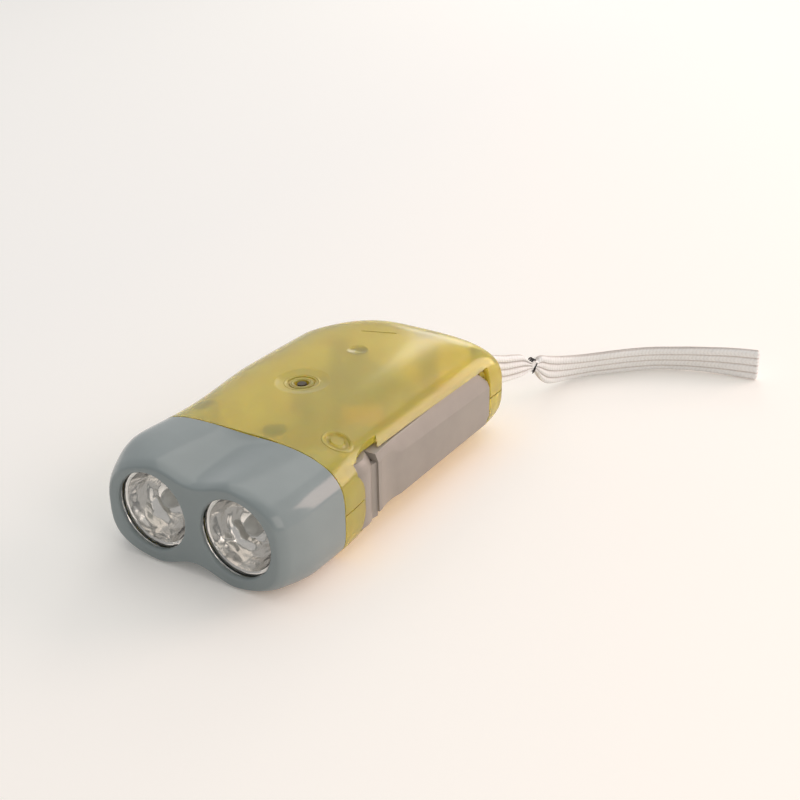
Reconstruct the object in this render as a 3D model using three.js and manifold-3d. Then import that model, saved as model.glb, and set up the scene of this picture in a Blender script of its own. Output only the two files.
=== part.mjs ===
// Squeeze-lever dynamo torch with two lamps, in millimetres, +Z up, lamps facing -Y.
// The torch lies on its flat underside; the origin is the middle of its box, on the floor.
import * as THREE from 'three';
import { mergeVertices } from 'three/addons/utils/BufferGeometryUtils.js';
import Module from 'manifold-3d';

const wasm = await Module();
wasm.setup();

// Whole torch: the box it fills, its wall, and the gaps left between pieces.
const torch = { length: 101, height: 27, wall: 1.5, seam: 0.3, runningGap: 0.1, overrun: 1 };

// A table of shares turned into millimetres.
const times = (shares, size) => Object.fromEntries(
  Object.entries(shares).map(([name, share]) => [name, share * size]),
);

// Places along the torch, from its front face, as shares of its length.
const placeShares = {
  frontFade: 0.1386, capJoint: 0.2228, leverSide: 0.2376, leverSideSpan: 0.1188, waist: 0.3069,
  waistSpan: 0.2723, jawEnd: 0.3069, jawFade: 0.0693, tailSpan: 0.198, tailHeightSpan: 0.1188,
  leverAxis: 0.32277, gearAxis: 0.51485, wheelAxis: 0.74059, yokeEnd: 0.5139,
  step: 0.3762, dipFrom: 0.3911, dipTo: 0.4752, leverEnd: 0.9139, lock: 0.8772, bar: 0.9327,
  notchFrom: 0.299, notchRound: 0.3901, notchSlant: 0.3584, notchTo: 0.4248,
};
const place = times(placeShares, torch.length);

// Levels above the floor, as shares of the height.
const levelShares = {
  lamp: 0.5, parting: 0.463, leverBottom: 0.2074, leverTop: 0.7815, hubBottom: 0.3074, hubTop: 0.6296,
  sectorTop: 0.3926, firstPinionTop: 0.4037, wheelBottom: 0.2259, wheelTop: 0.2926, clutchBottom: 0.2148,
  clutchTop: 0.3111, gearHubTop: 0.4444, flywheelBottom: 0.3407, flywheelTop: 0.4778, magnetBottom: 0.4889,
  magnetTop: 0.7111, flywheelHubTop: 0.7259, statorBottom: 0.5333, statorTop: 0.6815, springBottom: 0.6593,
  wire: 0.763, screwTip: 0.7407, statorScrewTip: 0.7926, catchBottom: 0.2333, catchTop: 0.3037,
  noseTop: 0.3074, barBottom: 0.3333, barTop: 0.8889, slotBottom: 0.4074, slotTop: 0.8407,
};
const level = times(levelShares, torch.height);

// Outline of the moulded body, seen from above and from the end.
const form = {
  leftReach: 29.5, leftTaper: 3.8, leftTaperLength: 18, rightReach: 27, rightTaper: 1.9, rightTaperLength: 12,
  edgeRound: 0.9, edgeRoundLength: 2.9, waistDepth: 2.1, leverSideInset: 0.9, tailCorner: 2.75, underCrown: 0.6, roofCrown: 0.25,
  valleyDepth: 3,
};
const sectionPower = {
  left: 4.8, leftFront: 2.5, leftTail: 3.9, right: 3.1, rightTail: 3.8, headUnder: 5, frontUnder: 3.4,
};
const curvePower = { tail: 1.8, tailHeight: 3.5, tailCorner: 2, taper: 2, valley: 0.5 };
const tailReachShare = 0.985;
const ringPoints = 36;
const roundSides = { pin: 10, post: 14, dish: 20, disc: 28, bowl: 24, diode: 14 };

// Lamps: openings in the cap, lenses, reflectors and light-emitting diodes.
const lamp = {
  opening: 9.9, spacing: 24.4, lip: 1.2, lipChamfer: 0.5, pocketDepth: 3,
  lensRadius: 10.5, lensThickness: 1.2, reflectorRim: 10.3, reflectorDepth: 8.6,
  reflectorWall: 0.8, reflectorNeck: 2.9, diodeRadius: 2.5, diodeFlange: 2.8,
  diodeFlangeLength: 1, diodeLength: 7.2, bowlSteps: 4,
};
const diodeDomeAngles = [0, 30, 60, 90];
const board = { width: 38, height: 13, thickness: 1.2, corner: 2, chipWidth: 5, chipHeight: 3, chipDepth: 1.4 };

// Joint of cap and shells.
const spigot = { length: 3.2, wall: 1.5, root: 1.5 };

// Axes seen from above, measured from the middle of the front face.
const leverAxis = { x: 18.3, back: place.leverAxis };
const gearAxis = { x: -5.7, back: place.gearAxis };
const wheelAxis = { x: -3.9, back: place.wheelAxis };

// Squeeze lever on the right-hand side; its barrel has a sloped shoulder and its panel a long chamfer.
const lever = {
  face: 26.1, step: 0.5, dip: 0.5, wall: 1.8, flange: 4, barrel: 7.8, barrelTurn: 40, barrelEnd: 27,
  barrelDrop: 1.2, barrelRise: 0.3, shoulderDrop: 2.4, shoulderIn: 1.5, shoulderBendDrop: 0.9,
  shoulderBendIn: 0.81, frontChamfer: 1.9, dipChamfer: 4, tailChamfer: 5.2, hubRadius: 5, pinRadius: 1.2,
  webThickness: 4, lowEndCorner: 2.2, highEndCorner: 3.6, swing: 24, roundSteps: 6,
};
const chamferSlopeShare = 0.436;

// Lock: a slider under the tail end whose nose goes behind the lever's catch.
const lock = {
  buttonLength: 5, buttonWidth: 8, x: 13, travel: 4, recess: 1.7, button: 1.1, stemLength: 2.6,
  stemWidth: 4, plateThickness: 1.3, pad: 1, noseWidth: 1.6, noseLength: 3, ridge: 0.3,
  catchArm: 2, catchLip: 1.5, catchReach: 5, play: 0.4,
};

// Gear train: the sector on the lever drives a double gear, which drives the clutch pinion.
const sector = { module: 1, teeth: 52, shownTeeth: 7, hubShare: 0.5, windowShare: 0.82, windowSteps: 3 };
const firstPinion = { teeth: 10 };
const bigWheel = { module: 0.8, teeth: 40, rim: 2.2, hub: 5.4, web: 1 };
const clutchPinion = { teeth: 16, neck: 3.3, armWidth: 1.6, armHeight: 1.8, armSteps: 6 };
const tooth = { addendumShare: 0.85, dedendumShare: 1.2, pressureAngle: 20, backlash: 0.22, coarseFrom: 30 };
const gearHub = { radius: 3.2, axleRadius: 1.2 };

// Flywheel with its ratchet ring, and the magnet on its hub.
const flywheel = {
  pinionGap: 1.55, rimWidth: 4, recess: 2.3, web: 0.9, ratchetTip: 7, ratchetRoot: 8, ratchetTeeth: 8,
  ratchetLandShare: 0.85, hubRadius: 3,
};
const magnet = { inner: 3.3, outer: 8 };

// Stator: a U of steel round the magnet with the coil on its yoke.
const stator = {
  airGap: 0.6, armInner: 7, armOuter: 10.8, poleBack: 6.5, yokeThickness: 4, yokeX: 12.22, postPlace: 7,
  postRadius: 2.2,
};
const coil = {
  length: 13, sectorGap: 0.4, flangeRim: 0.5, flangeThickness: 1.1, tubeWall: 0.8, corner: 1.6, cornerSteps: 2,
};
const statorScrew = { head: 1.7, headHeight: 0.7, shank: 0.9 };
const panHeadShare = 0.85;

// Return spring round the lever's pivot boss.
const spring = {
  coilRadius: 3.5, wire: 0.35, turns: 3, pitch: 1.15, legBack: 14, legSide: 6, bossRadius: 2.6, postRadius: 1,
  stepsPerTurn: 8, wireSides: 5,
};

// Screws that hold the shells, and their posts; their places are shares of the torch's length.
const shellScrew = {
  head: 2.4, headHeight: 1.6, shank: 1.1, seat: 3.4, postRadius: 3, slotWidth: 0.7, slotDepth: 0.6,
};
const screwX = { front_left_screw: -19.5, front_right_screw: 3.6, rear_left_screw: -19.6, rear_right_screw: 6 };
const screwShares = {
  front_left_screw: 0.3069, front_right_screw: 0.2772, rear_left_screw: 0.8713, rear_right_screw: 0.9257,
};

// Small dished marks in the top shell over the three axes.
const dish = {
  gearRadius: 7.3, gearDepth: 0.6, leverRadius: 3.4, leverDepth: 0.5, wheelRadius: 2.5, wheelDepth: 0.3,
  rim: 0.1, steps: 4,
};

// Arched notch in the top shell over the lever's front end.
const notch = { inner: 22.25, archWidth: 4.2, archSteps: 7 };

// Wrist strap: a flat braid doubled back on itself, its bar in the tail and its stitched clasp.
const strap = { width: 9, thickness: 2.2, exitX: 20, barRadius: 1.2 };
const strapSlot = { side: 0.9 };
const clasp = { length: 2.2, wall: 0.45, place: 7 };
const wire = { radius: 0.5, sides: 6, spread: 2.4, x: 8.9, boardSpread: 9, bend: 2.5, steps: 16 };
const wireShares = { drawn: 0.8, rise: 0.1, slack: 0.25, half: 0.5, turn: 2, reach: 4.5, fall: 3, dive: 1.5 };

// Route of the strap from the bar to the fold at its far end: the place of its middle, and its lean in degrees.
const strapRoute = [
  [20, 45, 17.6, 0], [20.1, 47, 17.3, 0], [20.5, 50, 16.5, 0], [21.1, 53.5, 15.2, 0], [21.9, 57, 14.1, 0],
  [22.8, 60.8, 13.3, 0], [23.6, 64.5, 12.5, 0], [24.2, 67.2, 11.6, 0], [24.8, 69.8, 10.5, 0],
  [25.3, 72, 9.3, 2], [26, 75, 7.5, 6], [26.9, 78.5, 6.2, 9], [28.3, 82.5, 5.3, 14], [30.3, 86.6, 4.7, 19],
  [33.2, 90.6, 4.5, 22], [36.8, 94.3, 4.5, 21], [40.3, 97.8, 4.5, 21], [44.1, 101.2, 4.5, 21],
  [47.9, 104, 4.5, 22], [51.9, 106.2, 4.5, 21], [56.3, 108.1, 4.6, 18], [60.8, 109.7, 4.65, 14],
  [65.3, 111.1, 4.7, 8], [70.1, 112.3, 4.7, 1], [74.4, 113.2, 4.7, -3],
];

// How much of its width the strap keeps at each point of its route: it is gathered at the clasp.
const strapWidthShares = [
  1, 1, 0.99, 0.95, 0.9, 0.83, 0.7, 0.35, 0.35, 0.8, 0.97, 1, 1, 1, 1, 1, 1, 1, 1, 1, 1, 1, 1, 1, 1,
];

const front = -torch.length / 2;
const tail = torch.length / 2;
const middle = torch.height / 2;
const capEnd = front + place.capJoint;
const axisOf = (spot) => new THREE.Vector2(spot.x, front + spot.back);
const pivot = axisOf(leverAxis);
const panelFront = front + place.step;
const gearCentre = axisOf(gearAxis);
const wheelCentre = axisOf(wheelAxis);
const barCentre = axisOf({ x: strap.exitX, back: place.bar });
const degrees = THREE.MathUtils.degToRad;

// Turns a geometry into a solid for cutting and joining.
function solid(geometry) {
  const plain = geometry.index ? geometry.toNonIndexed() : geometry.clone();
  plain.deleteAttribute('normal');
  plain.deleteAttribute('uv');
  const merged = mergeVertices(plain, torch.overrun * 1e-4);
  return new wasm.Manifold(new wasm.Mesh({
    numProp: 3,
    vertProperties: new Float32Array(merged.attributes.position.array),
    triVerts: new Uint32Array(merged.index.array),
  }));
}

const joined = (first, ...rest) => rest.reduce((whole, piece) => whole.add(piece), first);
const cut = (whole, ...tools) => tools.reduce((left, tool) => left.subtract(tool), whole);

// Turns a solid into a named mesh with its finish.
function mesh(name, body, finish) {
  const { vertProperties, triVerts } = body.getMesh();
  const geometry = new THREE.BufferGeometry();
  geometry.setAttribute('position', new THREE.BufferAttribute(new Float32Array(vertProperties), 3));
  geometry.setIndex(new THREE.BufferAttribute(new Uint32Array(triVerts), 1));
  geometry.translate((form.leftReach - form.rightReach) / 2, 0, 0);
  geometry.computeVertexNormals();
  const piece = new THREE.Mesh(geometry, new THREE.MeshStandardMaterial(finish));
  piece.name = name;
  return piece;
}

// A box given by its lowest and highest corners.
function block(low, high) {
  const size = high.map((value, i) => value - low[i]);
  const geometry = new THREE.BoxGeometry(...size);
  geometry.translate(...low.map((value, i) => value + size[i] / 2));
  return solid(geometry);
}

// An upright cylinder, or cone, at a place seen from above.
function pillar(centre, radius, bottom, top, sides = roundSides.post, topRadius = radius) {
  const geometry = new THREE.CylinderGeometry(topRadius, radius, top - bottom, sides);
  geometry.rotateX(Math.PI / 2);
  geometry.translate(centre.x, centre.y, (bottom + top) / 2);
  return solid(geometry);
}

// An outline seen from above, raised between two heights.
function slab(points, bottom, top) {
  const shape = new THREE.Shape(points);
  const geometry = new THREE.ExtrudeGeometry(shape, { depth: top - bottom, bevelEnabled: false });
  geometry.translate(0, 0, bottom);
  return solid(geometry);
}

// A profile of radius and distance turned about an axis along the torch, facing the front.
function turnedAlong(profile, centreX, centreZ, sides) {
  const geometry = new THREE.LatheGeometry(profile.map(([r, y]) => new THREE.Vector2(r, y)), sides);
  geometry.translate(centreX, 0, centreZ);
  return solid(geometry);
}

// A profile of radius and height turned about an upright axis.
function turnedUp(profile, centre, sides) {
  const geometry = new THREE.LatheGeometry(profile.map(([r, z]) => new THREE.Vector2(r, z)), sides);
  geometry.rotateX(Math.PI / 2);
  geometry.translate(centre.x, centre.y, 0);
  return solid(geometry);
}

// A tube of a given section along a list of points.
function tube(points, section, steps) {
  const path = new THREE.CatmullRomCurve3(points);
  return solid(new THREE.ExtrudeGeometry(section, { steps, extrudePath: path, bevelEnabled: false }));
}

function roundSection(radius, sides) {
  const points = [];
  for (let i = 0; i < sides; i += 1) {
    const turn = (2 * Math.PI * i) / sides;
    points.push(new THREE.Vector2(radius * Math.cos(turn), radius * Math.sin(turn)));
  }
  return new THREE.Shape(points);
}

// Joins rings of equal point counts into one closed skin.
function skin(rings) {
  const count = rings[0].length;
  const positions = rings.flat(2);
  const faces = [];
  for (let r = 0; r + 1 < rings.length; r += 1) {
    for (let i = 0; i < count; i += 1) {
      const next = (i + 1) % count;
      const here = r * count;
      const beyond = here + count;
      faces.push(here + i, beyond + i, here + next, here + next, beyond + i, beyond + next);
    }
  }
  const last = (rings.length - 1) * count;
  for (let i = 1; i + 1 < count; i += 1) {
    faces.push(0, i, i + 1, last, last + i + 1, last + i);
  }
  const geometry = new THREE.BufferGeometry();
  geometry.setAttribute('position', new THREE.Float32BufferAttribute(positions, 3));
  geometry.setIndex(faces);
  return geometry;
}

const eased = (value) => {
  const t = Math.min(Math.max(value, 0), 1);
  return t * t * (3 - 2 * t);
};
const rounded = (t, power) => (1 - Math.min(Math.max(t, 0), 1) ** power) ** (1 / power);

// How square the body's section is at a place along it: on either side, above or underneath.
function powerAt(back, leverSide, under) {
  const atFront = 1 - eased(back / place.frontFade);
  const left = sectionPower.left + (sectionPower.leftFront - sectionPower.left) * atFront;
  const side = leverSide ? sectionPower.right : left;
  const atTail = leverSide ? sectionPower.rightTail : sectionPower.leftTail;
  const power = side + (atTail - side) * eased((back - tail) / tail);
  const head = under ? 1 - eased((back - place.jawEnd) / place.jawFade) : 0;
  const headPower = sectionPower.headUnder + (sectionPower.frontUnder - sectionPower.headUnder) * atFront;
  return power + (headPower - power) * head;
}

// How far the front edge is rounded off at a place along the body.
const edgeAt = (back) => form.edgeRound * Math.max(1 - back / form.edgeRoundLength, 0) ** curvePower.taper;

// Half width of the body at a place along it, on the left or on the lever's side.
function halfWidth(back, leverSide) {
  const full = leverSide ? form.rightReach : form.leftReach;
  const depth = leverSide ? form.rightTaper : form.leftTaper;
  const length = leverSide ? form.rightTaperLength : form.leftTaperLength;
  const taper = depth * Math.max(1 - back / length, 0) ** curvePower.taper;
  if (leverSide) {
    const inset = form.leverSideInset * eased((back - place.leverSide) / place.leverSideSpan);
    const corner = rounded((back - torch.length + form.tailCorner) / form.tailCorner, curvePower.tailCorner);
    return full - taper - edgeAt(back) - inset - form.tailCorner * (1 - corner);
  }
  const swing = Math.min(Math.abs(back - place.waist) / place.waistSpan, 1);
  const waist = (form.waistDepth * (1 + Math.cos(Math.PI * swing))) / 2;
  const sweep = (back - torch.length + place.tailSpan) / place.tailSpan;
  return (full - taper - edgeAt(back) - waist) * rounded(tailReachShare * sweep, curvePower.tail);
}

// Half height of the body at a place along it.
function halfHeight(back) {
  const sweep = (back - torch.length + place.tailHeightSpan) / place.tailHeightSpan;
  return (middle - edgeAt(back)) * rounded(tailReachShare * sweep, curvePower.tailHeight);
}

// Ring of points round the body at one place, set in from the outer skin.
function bodyRing(y, inset) {
  const stretch = torch.length / (torch.length - inset);
  const back = Math.max(y - front, 0) * stretch;
  const valley = form.valleyDepth * Math.max(1 - back / place.capJoint, 0) ** curvePower.valley;
  const high = halfHeight(back) - inset;
  const ring = [];
  for (let i = 0; i < ringPoints; i += 1) {
    const turn = (2 * Math.PI * (i + 0.5)) / ringPoints;
    const [across, up] = [Math.cos(turn), Math.sin(turn)];
    const wide = halfWidth(back, across > 0) - inset;
    const tall = up > 0 ? high : high + form.underCrown;
    const power = powerAt(back, across > 0, up < 0);
    const reach = ((Math.abs(across) / wide) ** power + (Math.abs(up) / tall) ** power) ** (-1 / power);
    const x = reach * across;
    const fold = Math.abs(x) < lamp.spacing / 2 ? Math.cos((Math.PI * x) / lamp.spacing) ** 2 : 0;
    const rise = reach * up * (1 - (valley * fold) / middle);
    const crown = up > 0 ? form.roofCrown * (x / wide) ** 2 : 0;
    ring.push([x, y, Math.max(middle + rise - crown, inset)]);
  }
  return ring;
}

// Where the body's skin is drawn along it, as shares of its length: closer at both ends.
const stationShares = [
  0, 0.007, 0.0287, 0.0644, 0.114, 0.163, 0.2228, 0.297, 0.376, 0.475, 0.584, 0.713, 0.802, 0.851, 0.891, 0.924,
  0.95, 0.972, 0.988, 1,
];

// The body's skin between two places, set in by a wall; a hollow that nothing fits may skip stations.
function bodyLoft(inset, from, to, every = 1) {
  const inner = stationShares.filter((_, i) => i % every === 0)
    .map((share) => front + torch.length * share).filter((y) => y > from && y < to);
  return solid(skin([from, ...inner, to].map((y) => bodyRing(y, inset))));
}

const lampCentres = { left: -lamp.spacing / 2, right: lamp.spacing / 2 };
const lensFront = front + lamp.lip + torch.seam / 2;
const reflectorFront = lensFront + lamp.lensThickness + torch.seam;
const reflectorEnd = reflectorFront + lamp.reflectorDepth;
const boardFront = reflectorEnd + lamp.diodeFlangeLength + torch.seam * 2;

function frontCap() {
  const wallFront = front + lamp.pocketDepth;
  const openings = Object.values(lampCentres).map((x) => turnedAlong([
    [0, front - torch.overrun],
    [lamp.opening + lamp.lipChamfer, front - torch.overrun],
    [lamp.opening + lamp.lipChamfer, front],
    [lamp.opening, front + lamp.lipChamfer],
    [lamp.opening, front + lamp.lip],
    [lamp.lensRadius + torch.seam / 2, front + lamp.lip],
    [lamp.lensRadius + torch.seam / 2, wallFront + torch.overrun],
    [0, wallFront + torch.overrun],
  ], x, level.lamp, roundSides.disc));
  const back = capEnd - torch.seam / 2;
  return cut(bodyLoft(0, front, back), bodyLoft(torch.wall, wallFront, back + torch.overrun), ...openings);
}

function lens(x) {
  return turnedAlong([
    [0, lensFront], [lamp.lensRadius, lensFront], [lamp.lensRadius, lensFront + lamp.lensThickness],
    [0, lensFront + lamp.lensThickness],
  ], x, level.lamp, roundSides.disc);
}

// Bowl of a reflector: a parabola open at the neck.
function reflector(x) {
  const steps = lamp.bowlSteps;
  const bowl = (share, wall) => {
    const radius = lamp.reflectorNeck + (lamp.reflectorRim - lamp.reflectorWall - lamp.reflectorNeck)
      * Math.sqrt(share);
    return [radius + wall, reflectorEnd - share * lamp.reflectorDepth];
  };
  const inside = Array.from({ length: steps + 1 }, (_, i) => bowl((i / steps) ** 2, 0));
  const outside = inside.map((_, i) => bowl((i / steps) ** 2, lamp.reflectorWall));
  return turnedAlong([...inside, ...outside.reverse(), inside[0]], x, level.lamp, roundSides.bowl);
}

function diode(x) {
  const base = boardFront - torch.seam;
  const shoulder = base - lamp.diodeLength + lamp.diodeRadius;
  const dome = diodeDomeAngles.map((angle) => {
    const turn = degrees(angle);
    return [lamp.diodeRadius * Math.sin(turn), shoulder - lamp.diodeRadius * Math.cos(turn)];
  });
  return turnedAlong([
    ...dome, [lamp.diodeRadius, base - lamp.diodeFlangeLength],
    [lamp.diodeFlange, base - lamp.diodeFlangeLength], [lamp.diodeFlange, base], [0, base],
  ], x, level.lamp, roundSides.diode);
}

function diodeBoard() {
  const [w, h, c] = [board.width / 2, board.height / 2, board.corner];
  const outline = [
    [-w + c, -h], [w - c, -h], [w, -h + c], [w, h - c], [w - c, h], [-w + c, h], [-w, h - c], [-w, -h + c],
  ].map(([x, z]) => new THREE.Vector2(x, z));
  const geometry = new THREE.ExtrudeGeometry(new THREE.Shape(outline), {
    depth: board.thickness, bevelEnabled: false,
  });
  geometry.rotateX(Math.PI / 2);
  geometry.translate(0, boardFront + board.thickness, level.lamp);
  const rear = boardFront + board.thickness;
  const chip = block(
    [-board.chipWidth / 2, rear - torch.seam, level.lamp - board.chipHeight / 2],
    [board.chipWidth / 2, rear + board.chipDepth, level.lamp + board.chipHeight / 2],
  );
  return joined(solid(geometry), chip);
}

// Hollow of both shells: the cavity behind the cap joint and the bore of the spigot.
const spigotInset = torch.wall + torch.seam;
const spigotBore = spigotInset + spigot.wall;
const spigotFront = capEnd - spigot.length;

function shellBlank() {
  const skinWall = bodyLoft(0, capEnd + torch.seam / 2, tail);
  const neck = bodyLoft(spigotInset, spigotFront, capEnd + spigot.root + torch.overrun);
  const bore = bodyLoft(spigotBore, spigotFront - torch.overrun, capEnd + spigot.root + torch.overrun);
  const cavity = bodyLoft(torch.wall, capEnd + spigot.root, tail - torch.wall, 2);
  return cut(joined(skinWall, neck), bore, cavity);
}

// The part of the body's inside that posts may fill.
const insideRoom = bodyLoft(torch.wall / 2, capEnd + torch.seam, tail - torch.wall / 2);
const fitted = (post) => post.intersect(insideRoom);

// Profile of the lever's barrel with its sloped shoulder, grown by a gap.
function barrelProfile(gap) {
  const [low, high] = [level.leverBottom - lever.barrelDrop - gap, level.leverTop + lever.barrelRise + gap];
  const radius = lever.barrel + gap;
  return [
    [0, low], [radius, low], [radius, high - lever.shoulderDrop],
    [radius - lever.shoulderBendIn, high - lever.shoulderBendDrop], [radius - lever.shoulderIn, high],
    [0, high],
  ];
}

// Room for the lever in the side of both shells, with a round way for its barrel.
function leverOpening() {
  const low = level.leverBottom - torch.seam;
  const high = level.leverTop + torch.seam;
  const outer = form.rightReach + torch.overrun;
  const endY = front + place.leverEnd + torch.seam;
  const behind = high + lever.barrelRise - lever.shoulderDrop;
  return joined(
    block([lever.face - lever.wall - lever.flange, pivot.y, low], [outer, endY, high]),
    block([pivot.x, pivot.y, low - lever.barrelDrop], [outer, panelFront + torch.seam, behind]),
    turnedUp(barrelProfile(torch.seam), pivot, roundSides.disc),
  );
}

const screwCentres = Object.entries(screwShares)
  .map(([name, share]) => [name, new THREE.Vector2(screwX[name], front + torch.length * share)]);

function bottomShell() {
  const blank = shellBlank();
  const half = block(
    [-torch.length, front - torch.overrun, -torch.overrun],
    [torch.length, tail + torch.overrun, level.parting - torch.seam / 2],
  );
  const rim = level.parting - torch.seam / 2;
  const posts = [
    pillar(pivot, spring.bossRadius + torch.wall / 2, 0, level.hubBottom - torch.seam),
    pillar(gearCentre, gearHub.radius, 0, level.wheelBottom - torch.seam),
    pillar(wheelCentre, gearHub.radius, 0, level.clutchBottom - torch.seam),
    pillar(barCentre, strap.barRadius + torch.wall / 2, 0, rim),
    ...screwCentres.map(([, centre]) => pillar(centre, shellScrew.postRadius, 0, rim)),
    block(
      [lock.x - lock.buttonWidth / 2 - torch.wall, lockBack - lock.travel - lock.buttonLength, torch.wall / 2],
      [lock.x + lock.buttonWidth / 2 + torch.wall, lockBack + lock.buttonLength, torch.wall + lock.pad],
    ),
  ].map(fitted);
  const axleBores = [
    [pivot, lever.pinRadius], [gearCentre, gearHub.axleRadius], [wheelCentre, gearHub.axleRadius],
    [barCentre, strap.barRadius],
  ].map(([centre, radius]) => {
    const foot = centre === barCentre ? level.barBottom : axleFoot(centre);
    return pillar(centre, radius + torch.runningGap, foot - torch.seam, level.parting);
  });
  const headRoom = shellScrew.seat + shellScrew.headHeight + torch.seam;
  const screwBores = screwCentres.flatMap(([, centre]) => [
    pillar(centre, shellScrew.head + torch.seam, -torch.overrun, headRoom),
    pillar(centre, shellScrew.shank + torch.seam, 0, level.parting),
  ]);
  const cuts = [leverOpening(), strapWay(), lockWay(), ...axleBores, ...screwBores];
  return cut(joined(blank, ...posts).intersect(half), ...cuts);
}

const lockBack = front + place.lock;

// Slot in the tail, through both shells, that the strap comes out of.
function strapWay() {
  const reach = strap.thickness / 2 + strapSlot.side;
  return block(
    [strap.exitX - reach, barCentre.y - strap.barRadius - torch.wall, level.slotBottom],
    [strap.exitX + reach, tail + torch.overrun, level.slotTop],
  );
}

// Recess and slot under the torch in which the lock's button slides.
function lockWay() {
  const [w, l] = [lock.buttonWidth / 2 + torch.seam, lock.buttonLength / 2 + torch.seam];
  const [sw, sl] = [lock.stemWidth / 2 + torch.seam, lock.stemLength / 2 + torch.seam];
  return joined(
    block([lock.x - w, lockBack - lock.travel - l, -torch.overrun], [lock.x + w, lockBack + l, lock.recess]),
    block([lock.x - sw, lockBack - lock.travel - sl, 0], [lock.x + sw, lockBack + sl, plateBottom]),
    block(
      [lock.x - w, lockBack - lock.travel - l, plateBottom - torch.seam],
      [noseHigh + torch.seam, lockBack + l, level.noseTop],
    ),
  );
}

function topShell() {
  const blank = shellBlank();
  const seamTop = level.parting + torch.seam / 2;
  const half = block(
    [-torch.length, front - torch.overrun, seamTop],
    [torch.length, tail + torch.overrun, torch.height + torch.overrun],
  );
  const roof = torch.height;
  const posts = [
    pillar(pivot, spring.bossRadius, level.hubTop + torch.seam, roof),
    pillar(gearCentre, gearHub.radius, level.gearHubTop + torch.seam, roof),
    pillar(wheelCentre, gearHub.radius - torch.seam, level.flywheelHubTop + torch.seam, roof),
    pillar(barCentre, strap.barRadius + torch.wall / 2, level.slotTop, roof),
    pillar(springPost, spring.postRadius, springTop - spring.pitch, roof, roundSides.pin),
    ...screwCentres.map(([, centre]) => pillar(centre, shellScrew.postRadius, seamTop, roof)),
    ...statorPosts.map((centre) => pillar(centre, stator.postRadius, level.statorTop + torch.seam, roof)),
  ].map(fitted);
  const bores = [
    pillar(pivot, lever.pinRadius + torch.runningGap, 0, leverPinTop + torch.seam),
    pillar(gearCentre, gearHub.axleRadius + torch.runningGap, 0, torch.height + torch.overrun),
    pillar(wheelCentre, gearHub.axleRadius + torch.runningGap, 0, torch.height - torch.wall),
    pillar(barCentre, strap.barRadius + torch.runningGap, 0, level.barTop + torch.seam),
    ...screwCentres.map(([, centre]) => (
      pillar(centre, shellScrew.shank + torch.runningGap, 0, level.screwTip + torch.seam)
    )),
    ...statorPosts.map((centre) => (
      pillar(centre, statorScrew.shank + torch.runningGap, 0, level.statorScrewTip + torch.seam, roundSides.pin)
    )),
  ];
  const dishes = [
    dished(gearCentre, dish.gearRadius, dish.gearDepth),
    dished(pivot, dish.leverRadius, dish.leverDepth),
    dished(wheelCentre, dish.wheelRadius, dish.wheelDepth),
  ];
  const cuts = [leverOpening(), archNotch(), ...dishes, strapWay(), ...bores];
  return cut(joined(blank, ...posts).intersect(half), ...cuts);
}

// Height of the outer skin over a place, by the same curve as the body's rings.
function roofHeight(centre) {
  const back = centre.y - front;
  const share = Math.abs(centre.x) / halfWidth(back, centre.x > 0);
  const power = powerAt(back, centre.x > 0, false);
  return middle + halfHeight(back) * rounded(share, power) - form.roofCrown * share ** 2;
}

// Height of the outer skin under a place.
function floorHeight(centre) {
  const back = centre.y - front;
  const share = Math.abs(centre.x) / halfWidth(back, centre.x > 0);
  const power = powerAt(back, centre.x > 0, true);
  return Math.max(middle - (halfHeight(back) + form.underCrown) * rounded(share, power), 0);
}

// Heights between which the upright axles stand in their blind bores.
const axleFoot = (centre) => floorHeight(centre) + torch.wall - torch.seam;
const leverPinTop = roofHeight(pivot) - dish.leverDepth - torch.wall;

// A shallow dish: the cap of a large ball sunk into the roof.
function dished(centre, radius, depth) {
  const ball = (radius ** 2 + depth ** 2) / (2 * depth);
  const base = roofHeight(centre) - depth - dish.rim;
  const steps = dish.steps;
  const profile = [[0, base]];
  for (let i = 1; i <= steps; i += 1) {
    const r = (radius * i) / steps;
    profile.push([r, base + ball - Math.sqrt(ball ** 2 - r ** 2)]);
  }
  profile.push([radius, base + depth + torch.wall], [0, base + depth + torch.wall]);
  return turnedUp(profile, centre, roundSides.dish);
}

// Arched notch, open to the side and above: a quarter ellipse, a straight edge and a slant back out.
function archNotch() {
  const [y0, rounding, y1] = [place.notchFrom, place.notchRound, place.notchTo].map((back) => front + back);
  const outer = form.rightReach + torch.overrun;
  const points = [new THREE.Vector2(outer, y0)];
  for (let i = 0; i <= notch.archSteps; i += 1) {
    const turn = (Math.PI / 2) * (i / notch.archSteps);
    points.push(new THREE.Vector2(
      notch.inner + notch.archWidth * (1 - Math.sin(turn)),
      rounding - (rounding - y0) * Math.cos(turn),
    ));
  }
  points.push(new THREE.Vector2(notch.inner, y1), new THREE.Vector2(outer, front + place.notchSlant));
  return slab(points, level.leverTop - torch.overrun, torch.height + torch.overrun);
}

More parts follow.
